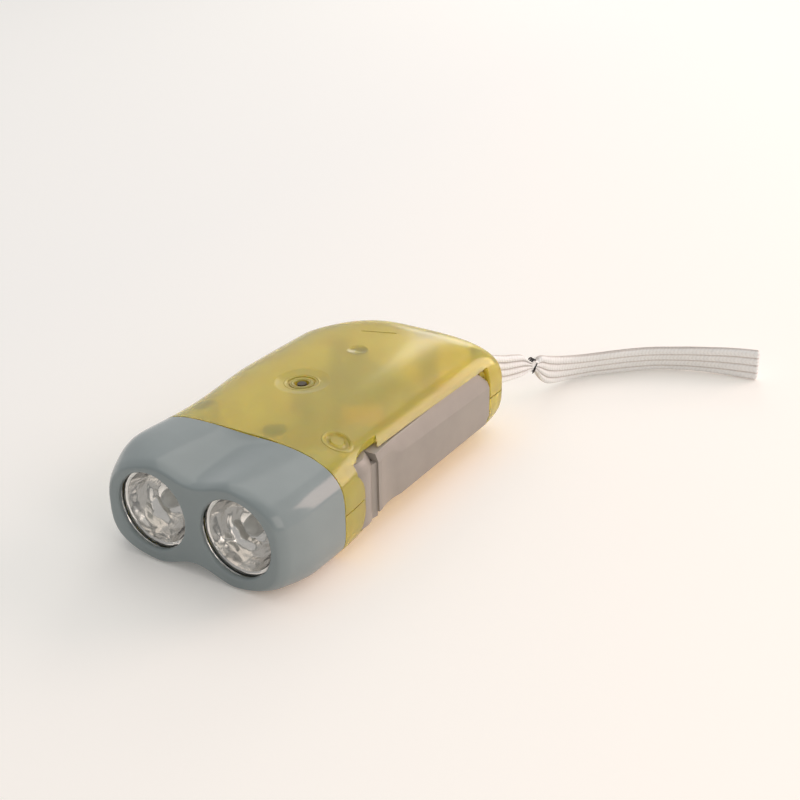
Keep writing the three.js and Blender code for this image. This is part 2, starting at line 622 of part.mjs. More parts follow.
// Outline of a spur gear, or of some of its teeth, about the origin.
function gearTeeth(module, teeth, phase, first = 0, count = teeth) {
  const pitch = (module * teeth) / 2;
  const base = pitch * Math.cos(degrees(tooth.pressureAngle));
  const involute = (radius) => {
    const angle = Math.acos(Math.min(base / radius, 1));
    return Math.tan(angle) - angle;
  };
  const halfAtPitch = (Math.PI * module / 2 - tooth.backlash) / 2 / pitch;
  const root = pitch - tooth.dedendumShare * module;
  const tip = pitch + tooth.addendumShare * module;
  const flank = (radius) => [radius, halfAtPitch + involute(pitch) - involute(Math.max(radius, base))];
  const foot = teeth < tooth.coarseFrom ? [flank(Math.max(base, (root + pitch) / 2))] : [];
  const bulge = teeth === bigWheel.teeth ? [] : [flank(pitch)];
  const side = [flank(root), ...foot, ...bulge, flank(tip)];
  const points = [];
  for (let i = first; i < first + count; i += 1) {
    const centre = phase + (2 * Math.PI * i) / teeth;
    side.forEach(([r, half]) => points.push([r, centre - half]));
    [...side].reverse().forEach(([r, half]) => points.push([r, centre + half]));
  }
  return points.map(([r, turn]) => new THREE.Vector2(r * Math.cos(turn), r * Math.sin(turn)));
}

const shifted = (points, centre) => points.map((point) => point.clone().add(centre));
const heading = (from, to) => Math.atan2(to.y - from.y, to.x - from.x);

const sectorHeading = heading(pivot, gearCentre);
const gearSpan = pivot.distanceTo(gearCentre);
const sectorScale = gearSpan / ((sector.module * (sector.teeth + firstPinion.teeth)) / 2);
const sectorModule = sector.module * sectorScale;
const wheelSpan = gearCentre.distanceTo(wheelCentre);
const wheelScale = wheelSpan / ((bigWheel.module * (bigWheel.teeth + clutchPinion.teeth)) / 2);
const wheelModule = bigWheel.module * wheelScale;

// Toothed sector of the lever: a fan from the hub with one or two teeth to spare at each end.
function sectorPlate() {
  const spare = Math.round((sector.shownTeeth - degrees(lever.swing) / ((2 * Math.PI) / sector.teeth)) / 2);
  const teeth = gearTeeth(sectorModule, sector.teeth, sectorHeading, -spare, sector.shownTeeth);
  const outline = shifted(teeth, pivot);
  const fan = slab([...outline, pivot.clone()], level.hubBottom, level.sectorTop);
  const centreTurn = sectorHeading + ((sector.shownTeeth / 2 - spare - 0.5) * 2 * Math.PI) / sector.teeth;
  const reach = (sectorModule * sector.teeth) / 2;
  const spread = (sector.shownTeeth * Math.PI) / sector.teeth / 2;
  const arc = (share, steps) => steps.map((step) => {
    const turn = centreTurn + (spread * step) / sector.windowSteps;
    return new THREE.Vector2(share * reach * Math.cos(turn), share * reach * Math.sin(turn));
  });
  const steps = Array.from({ length: 2 * sector.windowSteps + 1 }, (_, i) => i - sector.windowSteps);
  const window = [...arc(sector.windowShare, steps), ...arc(sector.hubShare, [...steps].reverse())];
  const hole = slab(shifted(window, pivot), level.hubBottom - torch.overrun, level.sectorTop + torch.overrun);
  return cut(fan, hole);
}

// Front end of the lever's face seen from above: the barrel, then the step up to the panel.
function leverFront(inset) {
  const radius = lever.barrel - inset;
  const [from, to] = [-lever.barrelTurn, lever.barrelEnd].map(degrees);
  const steps = lever.roundSteps;
  const points = [];
  for (let i = 0; i <= steps; i += 1) {
    const turn = from + ((to - from) * i) / steps;
    points.push(new THREE.Vector2(pivot.x + radius * Math.cos(turn), pivot.y + radius * Math.sin(turn)));
  }
  points.push(new THREE.Vector2(lever.face - lever.step - inset, panelFront));
  return points;
}

// Panel of the lever's face seen from above, with the shallow dip for a finger.
function leverPanel(inset) {
  const [from, to] = [front + place.dipFrom, front + place.dipTo];
  const steps = lever.roundSteps;
  const points = [new THREE.Vector2(lever.face - inset, panelFront)];
  for (let i = 0; i <= steps; i += 1) {
    const sink = lever.dip * Math.sin((Math.PI * i) / steps);
    points.push(new THREE.Vector2(lever.face - sink - inset, from + ((to - from) * i) / steps));
  }
  return points;
}

function squeezeLever() {
  const end = front + place.leverEnd;
  const innerEdge = lever.face - lever.wall - lever.flange;
  const openEdge = innerEdge - torch.overrun;
  const lastInner = new THREE.Vector2(innerEdge, pivot.y + lever.barrel);
  const panel = [new THREE.Vector2(lever.face, end), new THREE.Vector2(innerEdge, end)];
  const [bottom, top] = [level.leverBottom, level.leverTop];
  const [low, high] = [bottom - lever.barrelDrop, top + lever.barrelRise];
  const blank = joined(
    slab([...leverFront(0), ...leverPanel(0), ...panel, lastInner, leverFront(lever.wall)[0]], bottom, top),
    slab([...leverFront(0), new THREE.Vector2(innerEdge, panelFront), leverFront(lever.wall)[0]], low, high),
  );
  const hollow = joined(
    slab([
      ...leverFront(lever.wall), ...leverPanel(lever.wall),
      new THREE.Vector2(lever.face - lever.wall, end - lever.wall),
      new THREE.Vector2(openEdge, end - lever.wall), new THREE.Vector2(openEdge, pivot.y),
    ], bottom + lever.wall, top - lever.wall),
    slab([
      ...leverFront(lever.wall), new THREE.Vector2(openEdge, panelFront - lever.wall),
      new THREE.Vector2(openEdge, pivot.y),
    ], low + lever.wall, high - lever.wall),
  );
  const coilRoom = pillar(
    pivot, spring.coilRadius + spring.wire + torch.seam, level.hubTop, high + torch.overrun, roundSides.disc,
  );
  const channel = cut(blank, hollow, coilRoom, barrelShoulder(), leverChamfer(), ...leverEndCorners());
  const hub = pillar(pivot, lever.hubRadius, level.hubBottom, level.hubTop);
  const web = block(
    [pivot.x, pivot.y - lever.webThickness / 2, level.hubBottom],
    [pivot.x + lever.barrel - lever.wall / 2, pivot.y + lever.webThickness / 2, level.hubTop],
  );
  const bore = pillar(pivot, lever.pinRadius + torch.runningGap, 0, torch.height);
  return cut(joined(channel, hub, web, sectorPlate(), leverCatch()), bore);
}

// What the barrel's shoulder takes off the lever in front of its panel.
function barrelShoulder() {
  const high = level.leverTop + lever.barrelRise;
  const [radius, reach] = [lever.barrel, lever.barrel * 2];
  const ring = turnedUp([
    [radius, high - lever.shoulderDrop], [reach, high - lever.shoulderDrop], [reach, high + torch.overrun],
    [radius - lever.shoulderIn, high + torch.overrun], [radius - lever.shoulderIn, high],
    [radius - lever.shoulderBendIn, high - lever.shoulderBendDrop], [radius, high - lever.shoulderDrop],
  ], pivot, roundSides.disc);
  return ring.intersect(block([-reach, front, 0], [pivot.x + reach, panelFront, torch.height + torch.overrun]));
}

// Long chamfer along the upper edge of the lever's panel, deeper towards the tail.
function leverChamfer() {
  const top = level.leverTop + torch.overrun;
  const rings = [
    [panelFront, lever.frontChamfer], [front + place.dipTo, lever.dipChamfer],
    [front + place.leverEnd, lever.tailChamfer], [front + place.leverEnd + torch.overrun, lever.tailChamfer],
  ].map(([y, drop]) => {
    const low = level.leverTop - drop;
    return [
      [lever.face, y, low], [lever.face + torch.overrun, y, low], [lever.face + torch.overrun, y, top],
      [lever.face - chamferSlopeShare * (drop + torch.overrun), y, top],
    ];
  });
  return solid(skin(rings));
}

// Cuts the two outer corners at the lever's tail end.
function leverEndCorners() {
  const end = front + place.leverEnd;
  return [[level.leverBottom, lever.lowEndCorner, -1], [level.leverTop, lever.highEndCorner, 1]]
    .map(([z, corner, outward]) => {
      const side = (corner + torch.overrun * 2) * Math.SQRT2;
      const geometry = new THREE.BoxGeometry(torch.length, side, side);
      geometry.rotateX(Math.PI / 4);
      geometry.translate(lever.face, end + torch.overrun, z + outward * torch.overrun);
      return solid(geometry);
    });
}

// Hooked catch inside the lever's tail end, behind which the lock's nose slides.
function leverCatch() {
  const lipX = noseLow - lock.play;
  const from = lockBack - lock.travel - lock.noseLength / 2 - lock.play - lock.catchArm;
  return joined(
    block(
      [lipX - lock.catchLip, from, level.catchBottom],
      [lever.face - lever.wall / 2, from + lock.catchArm, level.catchTop],
    ),
    block([lipX - lock.catchLip, from, level.catchBottom], [lipX, from + lock.catchReach, level.catchTop]),
  );
}

const noseHigh = lever.face - lever.wall - lever.flange - lock.play;
const noseLow = noseHigh - lock.noseWidth;
const plateBottom = torch.wall + lock.pad + torch.seam;

function lockSlider() {
  const floor = lock.recess - torch.seam;
  const [w, l] = [lock.buttonWidth / 2, lock.buttonLength / 2];
  const button = block([lock.x - w, lockBack - l, floor - lock.button], [lock.x + w, lockBack + l, floor]);
  const ridges = [-1, 0, 1].map((i) => block(
    [lock.x - w + lock.ridge, lockBack + (i * l) / 2 - lock.ridge, floor - lock.button - lock.ridge / 2],
    [lock.x + w - lock.ridge, lockBack + (i * l) / 2 + lock.ridge, floor],
  ));
  const stem = block(
    [lock.x - lock.stemWidth / 2, lockBack - lock.stemLength / 2, floor - torch.seam],
    [lock.x + lock.stemWidth / 2, lockBack + lock.stemLength / 2, plateBottom + torch.seam],
  );
  const plate = block(
    [lock.x - w, lockBack - l, plateBottom],
    [noseHigh, lockBack + l, plateBottom + lock.plateThickness],
  );
  const nose = block(
    [noseLow, lockBack - lock.noseLength / 2, plateBottom],
    [noseHigh, lockBack + lock.noseLength / 2, level.noseTop],
  );
  return joined(button, ...ridges, stem, plate, nose);
}

function doubleGear() {
  const meshing = sectorHeading + Math.PI + Math.PI / firstPinion.teeth;
  const pinion = slab(
    shifted(gearTeeth(sectorModule, firstPinion.teeth, meshing), gearCentre),
    (level.wheelBottom + level.wheelTop) / 2,
    level.firstPinionTop,
  );
  const wheelRadius = (wheelModule * bigWheel.teeth) / 2;
  const toothed = slab(
    shifted(gearTeeth(wheelModule, bigWheel.teeth, heading(gearCentre, wheelCentre)), gearCentre),
    level.wheelBottom,
    level.wheelTop,
  );
  const cutTop = level.wheelTop + torch.overrun;
  const dishRadius = wheelRadius - tooth.dedendumShare * wheelModule - bigWheel.rim;
  const hollow = cut(
    pillar(gearCentre, dishRadius, level.wheelBottom + bigWheel.web, cutTop, roundSides.disc),
    pillar(gearCentre, bigWheel.hub + torch.wall, level.wheelBottom, cutTop),
  );
  const hub = pillar(gearCentre, gearHub.radius, level.wheelBottom, level.gearHubTop);
  const bore = pillar(gearCentre, gearHub.axleRadius + torch.runningGap, 0, torch.height);
  return cut(joined(cut(toothed, hollow), pinion, hub), bore);
}

// Clutch pinion: teeth below, and above them a carrier with two pawl arms inside the flywheel.
function pinionWithPawls() {
  const phase = heading(wheelCentre, gearCentre) + Math.PI / clutchPinion.teeth;
  const teeth = slab(
    shifted(gearTeeth(wheelModule, clutchPinion.teeth, phase), wheelCentre),
    level.clutchBottom,
    level.clutchTop,
  );
  const carrierBottom = level.flywheelBottom + torch.seam;
  const carrierTop = carrierBottom + clutchPinion.armHeight;
  const neck = pillar(wheelCentre, clutchPinion.neck, level.clutchTop - torch.seam, carrierTop);
  const arms = [0, Math.PI].map((turn) => {
    const points = [];
    const reach = flywheel.ratchetTip - torch.seam;
    for (let i = 0; i <= clutchPinion.armSteps; i += 1) {
      const share = i / clutchPinion.armSteps;
      const r = clutchPinion.neck + (reach - clutchPinion.neck) * share;
      points.push(new THREE.Vector2(r * Math.cos(turn + share), r * Math.sin(turn + share)));
    }
    for (let i = clutchPinion.armSteps; i >= 0; i -= 1) {
      const share = i / clutchPinion.armSteps;
      const r = clutchPinion.neck + (reach - clutchPinion.neck) * share;
      const back = share - clutchPinion.armWidth / r;
      const inner = i === 0 ? clutchPinion.neck / 2 : r;
      points.push(new THREE.Vector2(inner * Math.cos(turn + back), inner * Math.sin(turn + back)));
    }
    return slab(shifted(points, wheelCentre), carrierBottom, carrierTop);
  });
  const bore = pillar(wheelCentre, gearHub.axleRadius + torch.runningGap, 0, torch.height);
  return cut(joined(teeth, neck, ...arms), bore);
}

function flywheelBody() {
  const [bottom, top] = [level.flywheelBottom, level.flywheelTop];
  const pinionTip = sectorModule * (firstPinion.teeth / 2 + tooth.addendumShare);
  const radius = wheelSpan - pinionTip - flywheel.pinionGap;
  const disc = pillar(wheelCentre, radius, bottom, top, roundSides.disc);
  const hub = pillar(wheelCentre, flywheel.hubRadius, top - torch.seam, level.flywheelHubTop);
  const ratchet = [];
  for (let i = 0; i < flywheel.ratchetTeeth; i += 1) {
    const turn = (2 * Math.PI * i) / flywheel.ratchetTeeth;
    const next = (2 * Math.PI * (i + flywheel.ratchetLandShare)) / flywheel.ratchetTeeth;
    const land = flywheel.ratchetTip + torch.seam;
    ratchet.push(new THREE.Vector2(Math.cos(turn), Math.sin(turn)).multiplyScalar(flywheel.ratchetRoot));
    ratchet.push(new THREE.Vector2(Math.cos(next), Math.sin(next)).multiplyScalar(land));
  }
  const recess = slab(shifted(ratchet, wheelCentre), bottom - torch.overrun, bottom + flywheel.recess);
  const grooveBottom = bottom + flywheel.recess + flywheel.web;
  const groove = cut(
    pillar(wheelCentre, radius - flywheel.rimWidth, grooveBottom, top + torch.overrun, roundSides.disc),
    pillar(wheelCentre, magnet.outer, bottom, top + torch.overrun),
  );
  const bore = pillar(wheelCentre, gearHub.axleRadius + torch.runningGap, 0, torch.height);
  return cut(joined(disc, hub), recess, groove, bore);
}

function ringMagnet() {
  return cut(
    pillar(wheelCentre, magnet.outer, level.magnetBottom, level.magnetTop, roundSides.disc),
    pillar(wheelCentre, magnet.inner, level.magnetBottom - torch.overrun, level.magnetTop + torch.overrun),
  );
}

// Places on the stator, given along its axis from the magnet and across it.
const yokePlace = axisOf({ x: stator.yokeX, back: place.yokeEnd });
const statorHeading = heading(wheelCentre, yokePlace);
const yokeTo = wheelCentre.distanceTo(yokePlace);
const yokeFrom = yokeTo - stator.yokeThickness;
const statorPoint = (along, across) => new THREE.Vector2(along, across)
  .rotateAround(new THREE.Vector2(), statorHeading).add(wheelCentre);
const poleMiddle = (stator.armInner + stator.armOuter) / 2;
const statorPosts = [-1, 1].map((side) => statorPoint(stator.postPlace, side * poleMiddle));
const statorMiddle = (level.statorBottom + level.statorTop) / 2;

function statorCore() {
  const outline = [
    [-stator.poleBack, -stator.armOuter], [yokeTo, -stator.armOuter], [yokeTo, stator.armOuter],
    [-stator.poleBack, stator.armOuter], [-stator.poleBack, stator.armInner], [yokeFrom, stator.armInner],
    [yokeFrom, -stator.armInner], [-stator.poleBack, -stator.armInner],
  ].map(([along, across]) => statorPoint(along, across));
  const core = slab(outline, level.statorBottom, level.statorTop);
  const air = pillar(wheelCentre, magnet.outer + stator.airGap, 0, torch.height, roundSides.disc);
  const holeRadius = statorScrew.shank + torch.runningGap;
  const holes = statorPosts.map((centre) => pillar(centre, holeRadius, 0, torch.height, roundSides.pin));
  return cut(core, air, ...holes);
}

// A block centred on the yoke, as long as the coil or a part of it.
function yokeBlock(from, to, halfSize, corner) {
  const points = [];
  [[1, 1], [-1, 1], [-1, -1], [1, -1]].forEach(([a, b], quadrant) => {
    for (let i = 0; i <= coil.cornerSteps; i += 1) {
      const turn = (Math.PI / 2) * (quadrant + i / coil.cornerSteps);
      points.push(new THREE.Vector2(
        a * (halfSize - corner) + corner * Math.cos(turn),
        b * (halfSize - corner) + corner * Math.sin(turn),
      ));
    }
  });
  const shape = new THREE.Shape(points);
  const geometry = new THREE.ExtrudeGeometry(shape, { depth: to - from, bevelEnabled: false });
  geometry.translate(0, 0, from);
  geometry.rotateX(-Math.PI / 2);
  geometry.rotateZ(statorHeading);
  const centre = statorPoint((yokeFrom + yokeTo) / 2, 0);
  geometry.translate(centre.x, centre.y, statorMiddle);
  return solid(geometry);
}

const coilEnd = coil.length / 2;
const tubeInner = stator.yokeThickness / 2 + torch.seam;
const tubeOuter = tubeInner + coil.tubeWall;
const coilFlange = statorMiddle - level.sectorTop - coil.sectorGap;

function coilBobbin() {
  const barrel = yokeBlock(-coilEnd, coilEnd, tubeOuter, coil.corner / 2);
  const flanges = [-1, 1].map((side) => {
    const ends = [side * coilEnd, side * (coilEnd - coil.flangeThickness)].sort((a, b) => a - b);
    return yokeBlock(...ends, coilFlange, coil.corner);
  });
  const bore = yokeBlock(-coilEnd - torch.overrun, coilEnd + torch.overrun, tubeInner, torch.seam);
  return cut(joined(barrel, ...flanges), bore);
}

function coilWinding() {
  const reach = coilEnd - coil.flangeThickness - torch.seam;
  return cut(
    yokeBlock(-reach, reach, coilFlange - coil.flangeRim, coil.corner),
    yokeBlock(-coilEnd, coilEnd, tubeOuter + torch.seam, coil.corner / 2),
  );
}

// A pan-headed screw driven upwards, with a slot across its head.
function screwUp(centre, size, headBottom, tip) {
  const headTop = headBottom + size.headHeight;
  const head = pillar(centre, size.head * panHeadShare, headBottom, headTop, roundSides.post, size.head);
  const shank = pillar(centre, size.shank, headTop - torch.seam, tip, roundSides.pin);
  const body = joined(head, shank);
  if (!size.slotWidth) return body;
  const slot = block(
    [centre.x - size.head, centre.y - size.slotWidth / 2, headBottom - torch.overrun],
    [centre.x + size.head, centre.y + size.slotWidth / 2, headBottom + size.slotDepth],
  );
  return cut(body, slot);
}

const springTop = level.springBottom + spring.turns * spring.pitch;
const springPost = new THREE.Vector2(
  pivot.x - spring.legSide - spring.postRadius / 2,
  pivot.y - spring.postRadius * 2,
);

// Torsion spring: a short helix with one leg on the lever's wall and one on the shell's post.
function returnSpring() {
  const points = [];
  const wallX = lever.face - lever.dip - lever.wall - spring.wire - torch.seam;
  const halfway = (wallX + pivot.x + spring.coilRadius) / 2;
  points.push(new THREE.Vector3(wallX, pivot.y + spring.legBack, level.springBottom));
  points.push(new THREE.Vector3(halfway, pivot.y + spring.legBack / 2, level.springBottom));
  const steps = spring.turns * spring.stepsPerTurn;
  for (let i = 0; i <= steps; i += 1) {
    const turn = -(2 * Math.PI * i) / spring.stepsPerTurn;
    points.push(new THREE.Vector3(
      pivot.x + spring.coilRadius * Math.cos(turn),
      pivot.y + spring.coilRadius * Math.sin(turn),
      level.springBottom + (spring.pitch * i) / spring.stepsPerTurn,
    ));
  }
  const legY = springPost.y - spring.postRadius - spring.wire - torch.seam;
  points.push(new THREE.Vector3(pivot.x, pivot.y - spring.coilRadius, springTop + spring.pitch / 4));
  points.push(new THREE.Vector3(springPost.x, legY, springTop + spring.pitch / 4));
  return tube(points, roundSection(spring.wire, spring.wireSides), points.length + spring.turns);
}

// Lead from the top of the coil's flange over the sector to the back of the board.
function lead(side) {
  const offset = (side * wire.spread) / 2;
  const start = statorPoint((yokeFrom + yokeTo) / 2 + offset, -coilEnd + coil.flangeThickness / 2);
  const low = statorMiddle + coilFlange + torch.seam;
  const boardBack = boardFront + board.thickness + torch.seam;
  const x = wire.x + offset * wireShares.drawn;
  const quarterX = start.x + (x - start.x) * wireShares.slack;
  const endX = wire.x + (side * wire.boardSpread) / 2;
  const endZ = level.lamp + board.chipHeight;
  const [rise, slack, half, turn, reach, fall, dive] = [
    wireShares.rise, wireShares.slack, wireShares.half, wireShares.turn, wireShares.reach, wireShares.fall,
    wireShares.dive,
  ].map((share) => wire.bend * share);
  return tube([
    new THREE.Vector3(start.x, start.y, low),
    new THREE.Vector3(start.x, start.y - rise, low + slack),
    new THREE.Vector3(start.x, start.y - half, low + half),
    new THREE.Vector3(quarterX, start.y - turn, (low + level.wire) / 2 + slack),
    new THREE.Vector3(x, start.y - reach, level.wire),
    new THREE.Vector3(x, boardBack + fall, level.wire),
    new THREE.Vector3((x + endX) / 2, boardBack + dive, (level.wire + endZ) / 2),
    new THREE.Vector3(endX, boardBack + half, endZ),
    new THREE.Vector3(endX, boardBack, endZ),
  ], roundSection(wire.radius, wire.sides), wire.steps);
}

// Outline of the flat braid's section, standing on edge, at a share of its full width.
function strapSection(widthShare) {
  const [t, w] = [strap.thickness / 2, (strap.width * widthShare) / 2];
  const edge = t / 2;
  return [
    [-t, -w + edge], [-edge, -w], [edge, -w], [t, -w + edge],
    [t, w - edge], [edge, w], [-edge, w], [-t, w - edge],
  ];
}

// A section's points set out across a heading and up, leaning over by some degrees.
function setOut(section, at, along, lean) {
  const across = new THREE.Vector3(along.y, -along.x, 0).normalize();
  const [up, over] = [Math.cos(degrees(lean)), Math.sin(degrees(lean))];
  return section.map(([x, z]) => {
    const side = x * up + z * over;
    return [at.x + across.x * side, at.y + across.y * side, at.z + z * up - x * over];
  });
}

// Flat braid, doubled, standing on edge and leaning as its route says.
function wristStrap() {
  const path = new THREE.CatmullRomCurve3(strapRoute.map(([x, y, z]) => new THREE.Vector3(x, y, z)));
  const rings = strapRoute.map(([x, y, z, lean], i) => {
    const along = path.getTangent(i / (strapRoute.length - 1));
    return setOut(strapSection(strapWidthShares[i]), new THREE.Vector3(x, y, z), along, lean);
  });
  return solid(skin(rings));
}

// Clasp sewn round both layers of the strap where it is gathered.
function strapClasp() {
  const [from, to] = [strapRoute[clasp.place], strapRoute[clasp.place + 1]]
    .map(([x, y, z]) => new THREE.Vector3(x, y, z));
  const along = to.clone().sub(from).normalize();
  const at = from.clone().add(to).divideScalar(2);
  const half = (strap.width * strapWidthShares[clasp.place]) / 2;
  const sleeve = (gap, reach) => {
    const [t, w] = [strap.thickness / 2 + gap, half + gap];
    return solid(skin([-reach, reach].map((end) => (
      setOut([[-t, -w], [t, -w], [t, w], [-t, w]], at.clone().addScaledVector(along, end), along, 0)
    ))));
  };
  return cut(
    sleeve(torch.seam + clasp.wall, clasp.length / 2),
    sleeve(torch.seam, clasp.length / 2 + torch.overrun),
  );
}

const finish = {
  capGrey: { color: 0x8f9a9b, roughness: 0.25, metalness: 0 },
  leverGrey: { color: 0x9d938c, roughness: 0.4, metalness: 0 },
  yellow: { color: 0xd3bd55, roughness: 0.2, metalness: 0, transparent: true, opacity: 0.8 },
  clear: { color: 0xeef2f2, roughness: 0.05, metalness: 0, transparent: true, opacity: 0.4 },
  mirror: { color: 0xd9dadb, roughness: 0.1, metalness: 1 },
  diode: { color: 0xf3f4ec, roughness: 0.1, metalness: 0 },
  board: { color: 0x2f6b46, roughness: 0.6, metalness: 0 },
  nylon: { color: 0xe6e3da, roughness: 0.5, metalness: 0 },
  black: { color: 0x2b2b2d, roughness: 0.5, metalness: 0 },
  steel: { color: 0xb6b8ba, roughness: 0.3, metalness: 1 },
  iron: { color: 0x6c6f73, roughness: 0.45, metalness: 1 },
  magnet: { color: 0x4a4c50, roughness: 0.5, metalness: 0.6 },
  copper: { color: 0xb5672f, roughness: 0.35, metalness: 1 },
  red: { color: 0xb3262a, roughness: 0.5, metalness: 0 },
  braid: { color: 0xe9e4dc, roughness: 0.9, metalness: 0 },
};

const assembly = new THREE.Group();
const add = (name, body, look) => assembly.add(mesh(name, body, look));

add('front_cap', frontCap(), finish.capGrey);
add('top_shell', topShell(), finish.yellow);
add('bottom_shell', bottomShell(), finish.yellow);
Object.entries(lampCentres).forEach(([side, x]) => {
  add(`${side}_lens`, lens(x), finish.clear);
  add(`${side}_reflector`, reflector(x), finish.mirror);
  add(`${side}_led`, diode(x), finish.diode);
});
add('led_board', diodeBoard(), finish.board);
add('squeeze_lever', squeezeLever(), finish.leverGrey);
add('lever_pin', pillar(pivot, lever.pinRadius, axleFoot(pivot), leverPinTop), finish.steel);
add('return_spring', returnSpring(), finish.steel);
add('lock_slider', lockSlider(), finish.leverGrey);
add('double_gear', doubleGear(), finish.nylon);
const axle = (centre, top) => pillar(centre, gearHub.axleRadius, axleFoot(centre), top);
add('gear_axle', axle(gearCentre, roofHeight(gearCentre) - dish.gearDepth - dish.rim), finish.steel);
add('clutch_pinion', pinionWithPawls(), finish.nylon);
add('flywheel', flywheelBody(), finish.black);
add('flywheel_axle', axle(wheelCentre, torch.height - torch.wall - torch.seam), finish.steel);
add('ring_magnet', ringMagnet(), finish.magnet);
add('stator_core', statorCore(), finish.iron);
add('coil_bobbin', coilBobbin(), finish.black);
add('coil_winding', coilWinding(), finish.copper);
statorPosts.forEach((centre, i) => {
  const seat = level.statorBottom - statorScrew.headHeight - torch.seam;
  add(`stator_screw_${i + 1}`, screwUp(centre, statorScrew, seat, level.statorScrewTip), finish.steel);
});
screwCentres.forEach(([name, centre]) => {
  add(name, screwUp(centre, shellScrew, shellScrew.seat, level.screwTip), finish.steel);
});
add('red_lead', lead(-1), finish.red);
add('black_lead', lead(1), finish.black);
add('strap_bar', pillar(barCentre, strap.barRadius, level.barBottom, level.barTop), finish.steel);
add('wrist_strap', wristStrap(), finish.braid);
add('strap_clasp', strapClasp(), finish.braid);

export default assembly;
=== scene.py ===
"""Squeeze-lever dynamo torch: the visible pieces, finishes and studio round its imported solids.

Lengths in the modelling code are millimetres in the torch's own frame: x from the middle between
the lamps, y along the torch with the lamps towards -y, z up from the table it lies on.
"""

import math
from types import SimpleNamespace

import bmesh
import bpy
from bpy.props import FloatProperty, FloatVectorProperty, IntProperty, PointerProperty
from mathutils import Matrix, Vector


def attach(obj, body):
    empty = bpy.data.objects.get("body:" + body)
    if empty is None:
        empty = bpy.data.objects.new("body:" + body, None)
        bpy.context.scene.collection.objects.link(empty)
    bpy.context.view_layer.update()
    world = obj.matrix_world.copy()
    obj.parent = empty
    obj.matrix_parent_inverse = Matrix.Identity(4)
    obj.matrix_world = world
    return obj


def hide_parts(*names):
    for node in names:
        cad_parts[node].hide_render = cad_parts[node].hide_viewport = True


bl_info = {
    "name": "Squeeze torch",
    "version": (1, 0, 0),
    "blender": (4, 5, 0),
    "location": "3D View > Sidebar > Torch",
    "description": "Builds a squeeze-lever dynamo torch round its packed solids",
    "category": "Object",
}

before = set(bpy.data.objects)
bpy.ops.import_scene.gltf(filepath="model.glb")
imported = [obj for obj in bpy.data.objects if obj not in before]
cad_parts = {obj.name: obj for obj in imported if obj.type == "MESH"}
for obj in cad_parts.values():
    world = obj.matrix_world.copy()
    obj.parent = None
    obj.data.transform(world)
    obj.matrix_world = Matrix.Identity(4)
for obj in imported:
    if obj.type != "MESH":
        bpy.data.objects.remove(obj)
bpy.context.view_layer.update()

MM = 0.001
SURFACE, EDGE = 0, 1


def linear(code):
    """Turns an sRGB hex colour into linear red, green and blue."""
    parts = [int(code[i : i + 2], 16) / 255 for i in (1, 3, 5)]
    return [p / 12.92 if p <= 0.04045 else ((p + 0.055) / 1.055) ** 2.4 for p in parts]


def colour(label, code, note):
    return FloatVectorProperty(
        name=label, description=note, default=linear(code), subtype="COLOR", min=0, max=1
    )


def length(label, millimetres, note):
    return FloatProperty(
        name=label, description=note, default=millimetres * MM, subtype="DISTANCE", unit="LENGTH"
    )


def rotation(label, degrees, note):
    return FloatProperty(
        name=label, description=note, default=math.radians(degrees), subtype="ANGLE"
    )


def number(label, value, note, low=0):
    return FloatProperty(name=label, description=note, default=value, min=low)


class TorchSizes(bpy.types.PropertyGroup):
    """Sizes of the torch's visible pieces."""

    body_length: length("Body length", 101, "From the lamp face to the tail")
    left_reach: length("Left reach", 29.5, "From the middle between the lamps to the plain side")
    right_reach: length("Right reach", 27, "From the middle between the lamps to the lever's side")
    height: length("Height", 27, "From the table to the top of the body")
    middle: length("Middle", 1.25, "How far the lamps' middle lies right of the body's middle")
    wall: length("Wall", 1.5, "Thickness of the cap and shells")
    seam: length("Seam", 0.3, "Gap between pieces that meet")
    cap_length: length("Cap length", 22.5, "From the lamp face to the joint of cap and shells")
    parting: length("Parting height", 12.5, "Height of the joint between the shells")
    lamp_spacing: length("Lamp spacing", 24.4, "Between the middles of the two lamps")
    lamp_opening: length("Lamp opening", 9.9, "Radius of each opening in the cap")
    lamp_height: length("Lamp height", 13.5, "Height of the lamps' middles")
    lever_face: length("Lever face", 26.1, "From the lamps' middle to the lever's outer face")
    lever_wall: length("Lever wall", 1.8, "Thickness of the lever's channel")
    strap_width: length("Strap width", 9, "Width of the flat braid")
    strap_layer: length("Braid thickness", 0.85, "Thickness of one layer of the braid")
    strap_ribs: IntProperty(name="Ribs", description="Ribs on each face", default=4, min=1)
    rib_height: length("Rib height", 0.7, "How far the braid's ribs stand up")
    thread: length("Thread", 0.28, "Radius of the sewing thread")


class TorchColours(bpy.types.PropertyGroup):
    """Colours of the torch's finishes."""

    cap: colour("Cap", "#8E9899", "Cool grey of the lamp cap")
    lever: colour("Lever", "#A1988F", "Warm grey of the squeeze lever")
    shell: colour("Shell", "#FFE86E", "Yellow tint of the translucent shells")
    # The shell edge colour is painted on the shells' rounded edges, lighter than the shell and also
    # as a glow.
    shell_edge_glow: colour("Shell edge", "#F8EE96", "Light that leaves the shells at their cut edges")
    braid: colour("Braid", "#FFFEFC", "White of the strap's cotton")
    # The braid shade and groove colours are painted shade in the braid's hollows.
    braid_shade: colour("Braid shade", "#E4DCD6", "Between the stitches of the braid")
    braid_groove_shade: colour("Braid groove", "#D6CDC7", "Shade in the grooves between the braid's ribs")
    black_thread: colour("Black thread", "#2A2726", "Sewing thread at the strap's clasp")
    table: colour("Table", "#FBF7F1", "Pale surface that the torch lies on")
    # The far table colour is a painted cooler tint away from the warm window lamp.
    table_painted_cool: colour("Far table", "#EFEFEE", "Cooler part of the pale surface")
    # The glow colour is a painted pool of warm light on the table beside the torch.
    glow: colour("Glow", "#FFCFA8", "Warm light that comes through the shells onto the table")


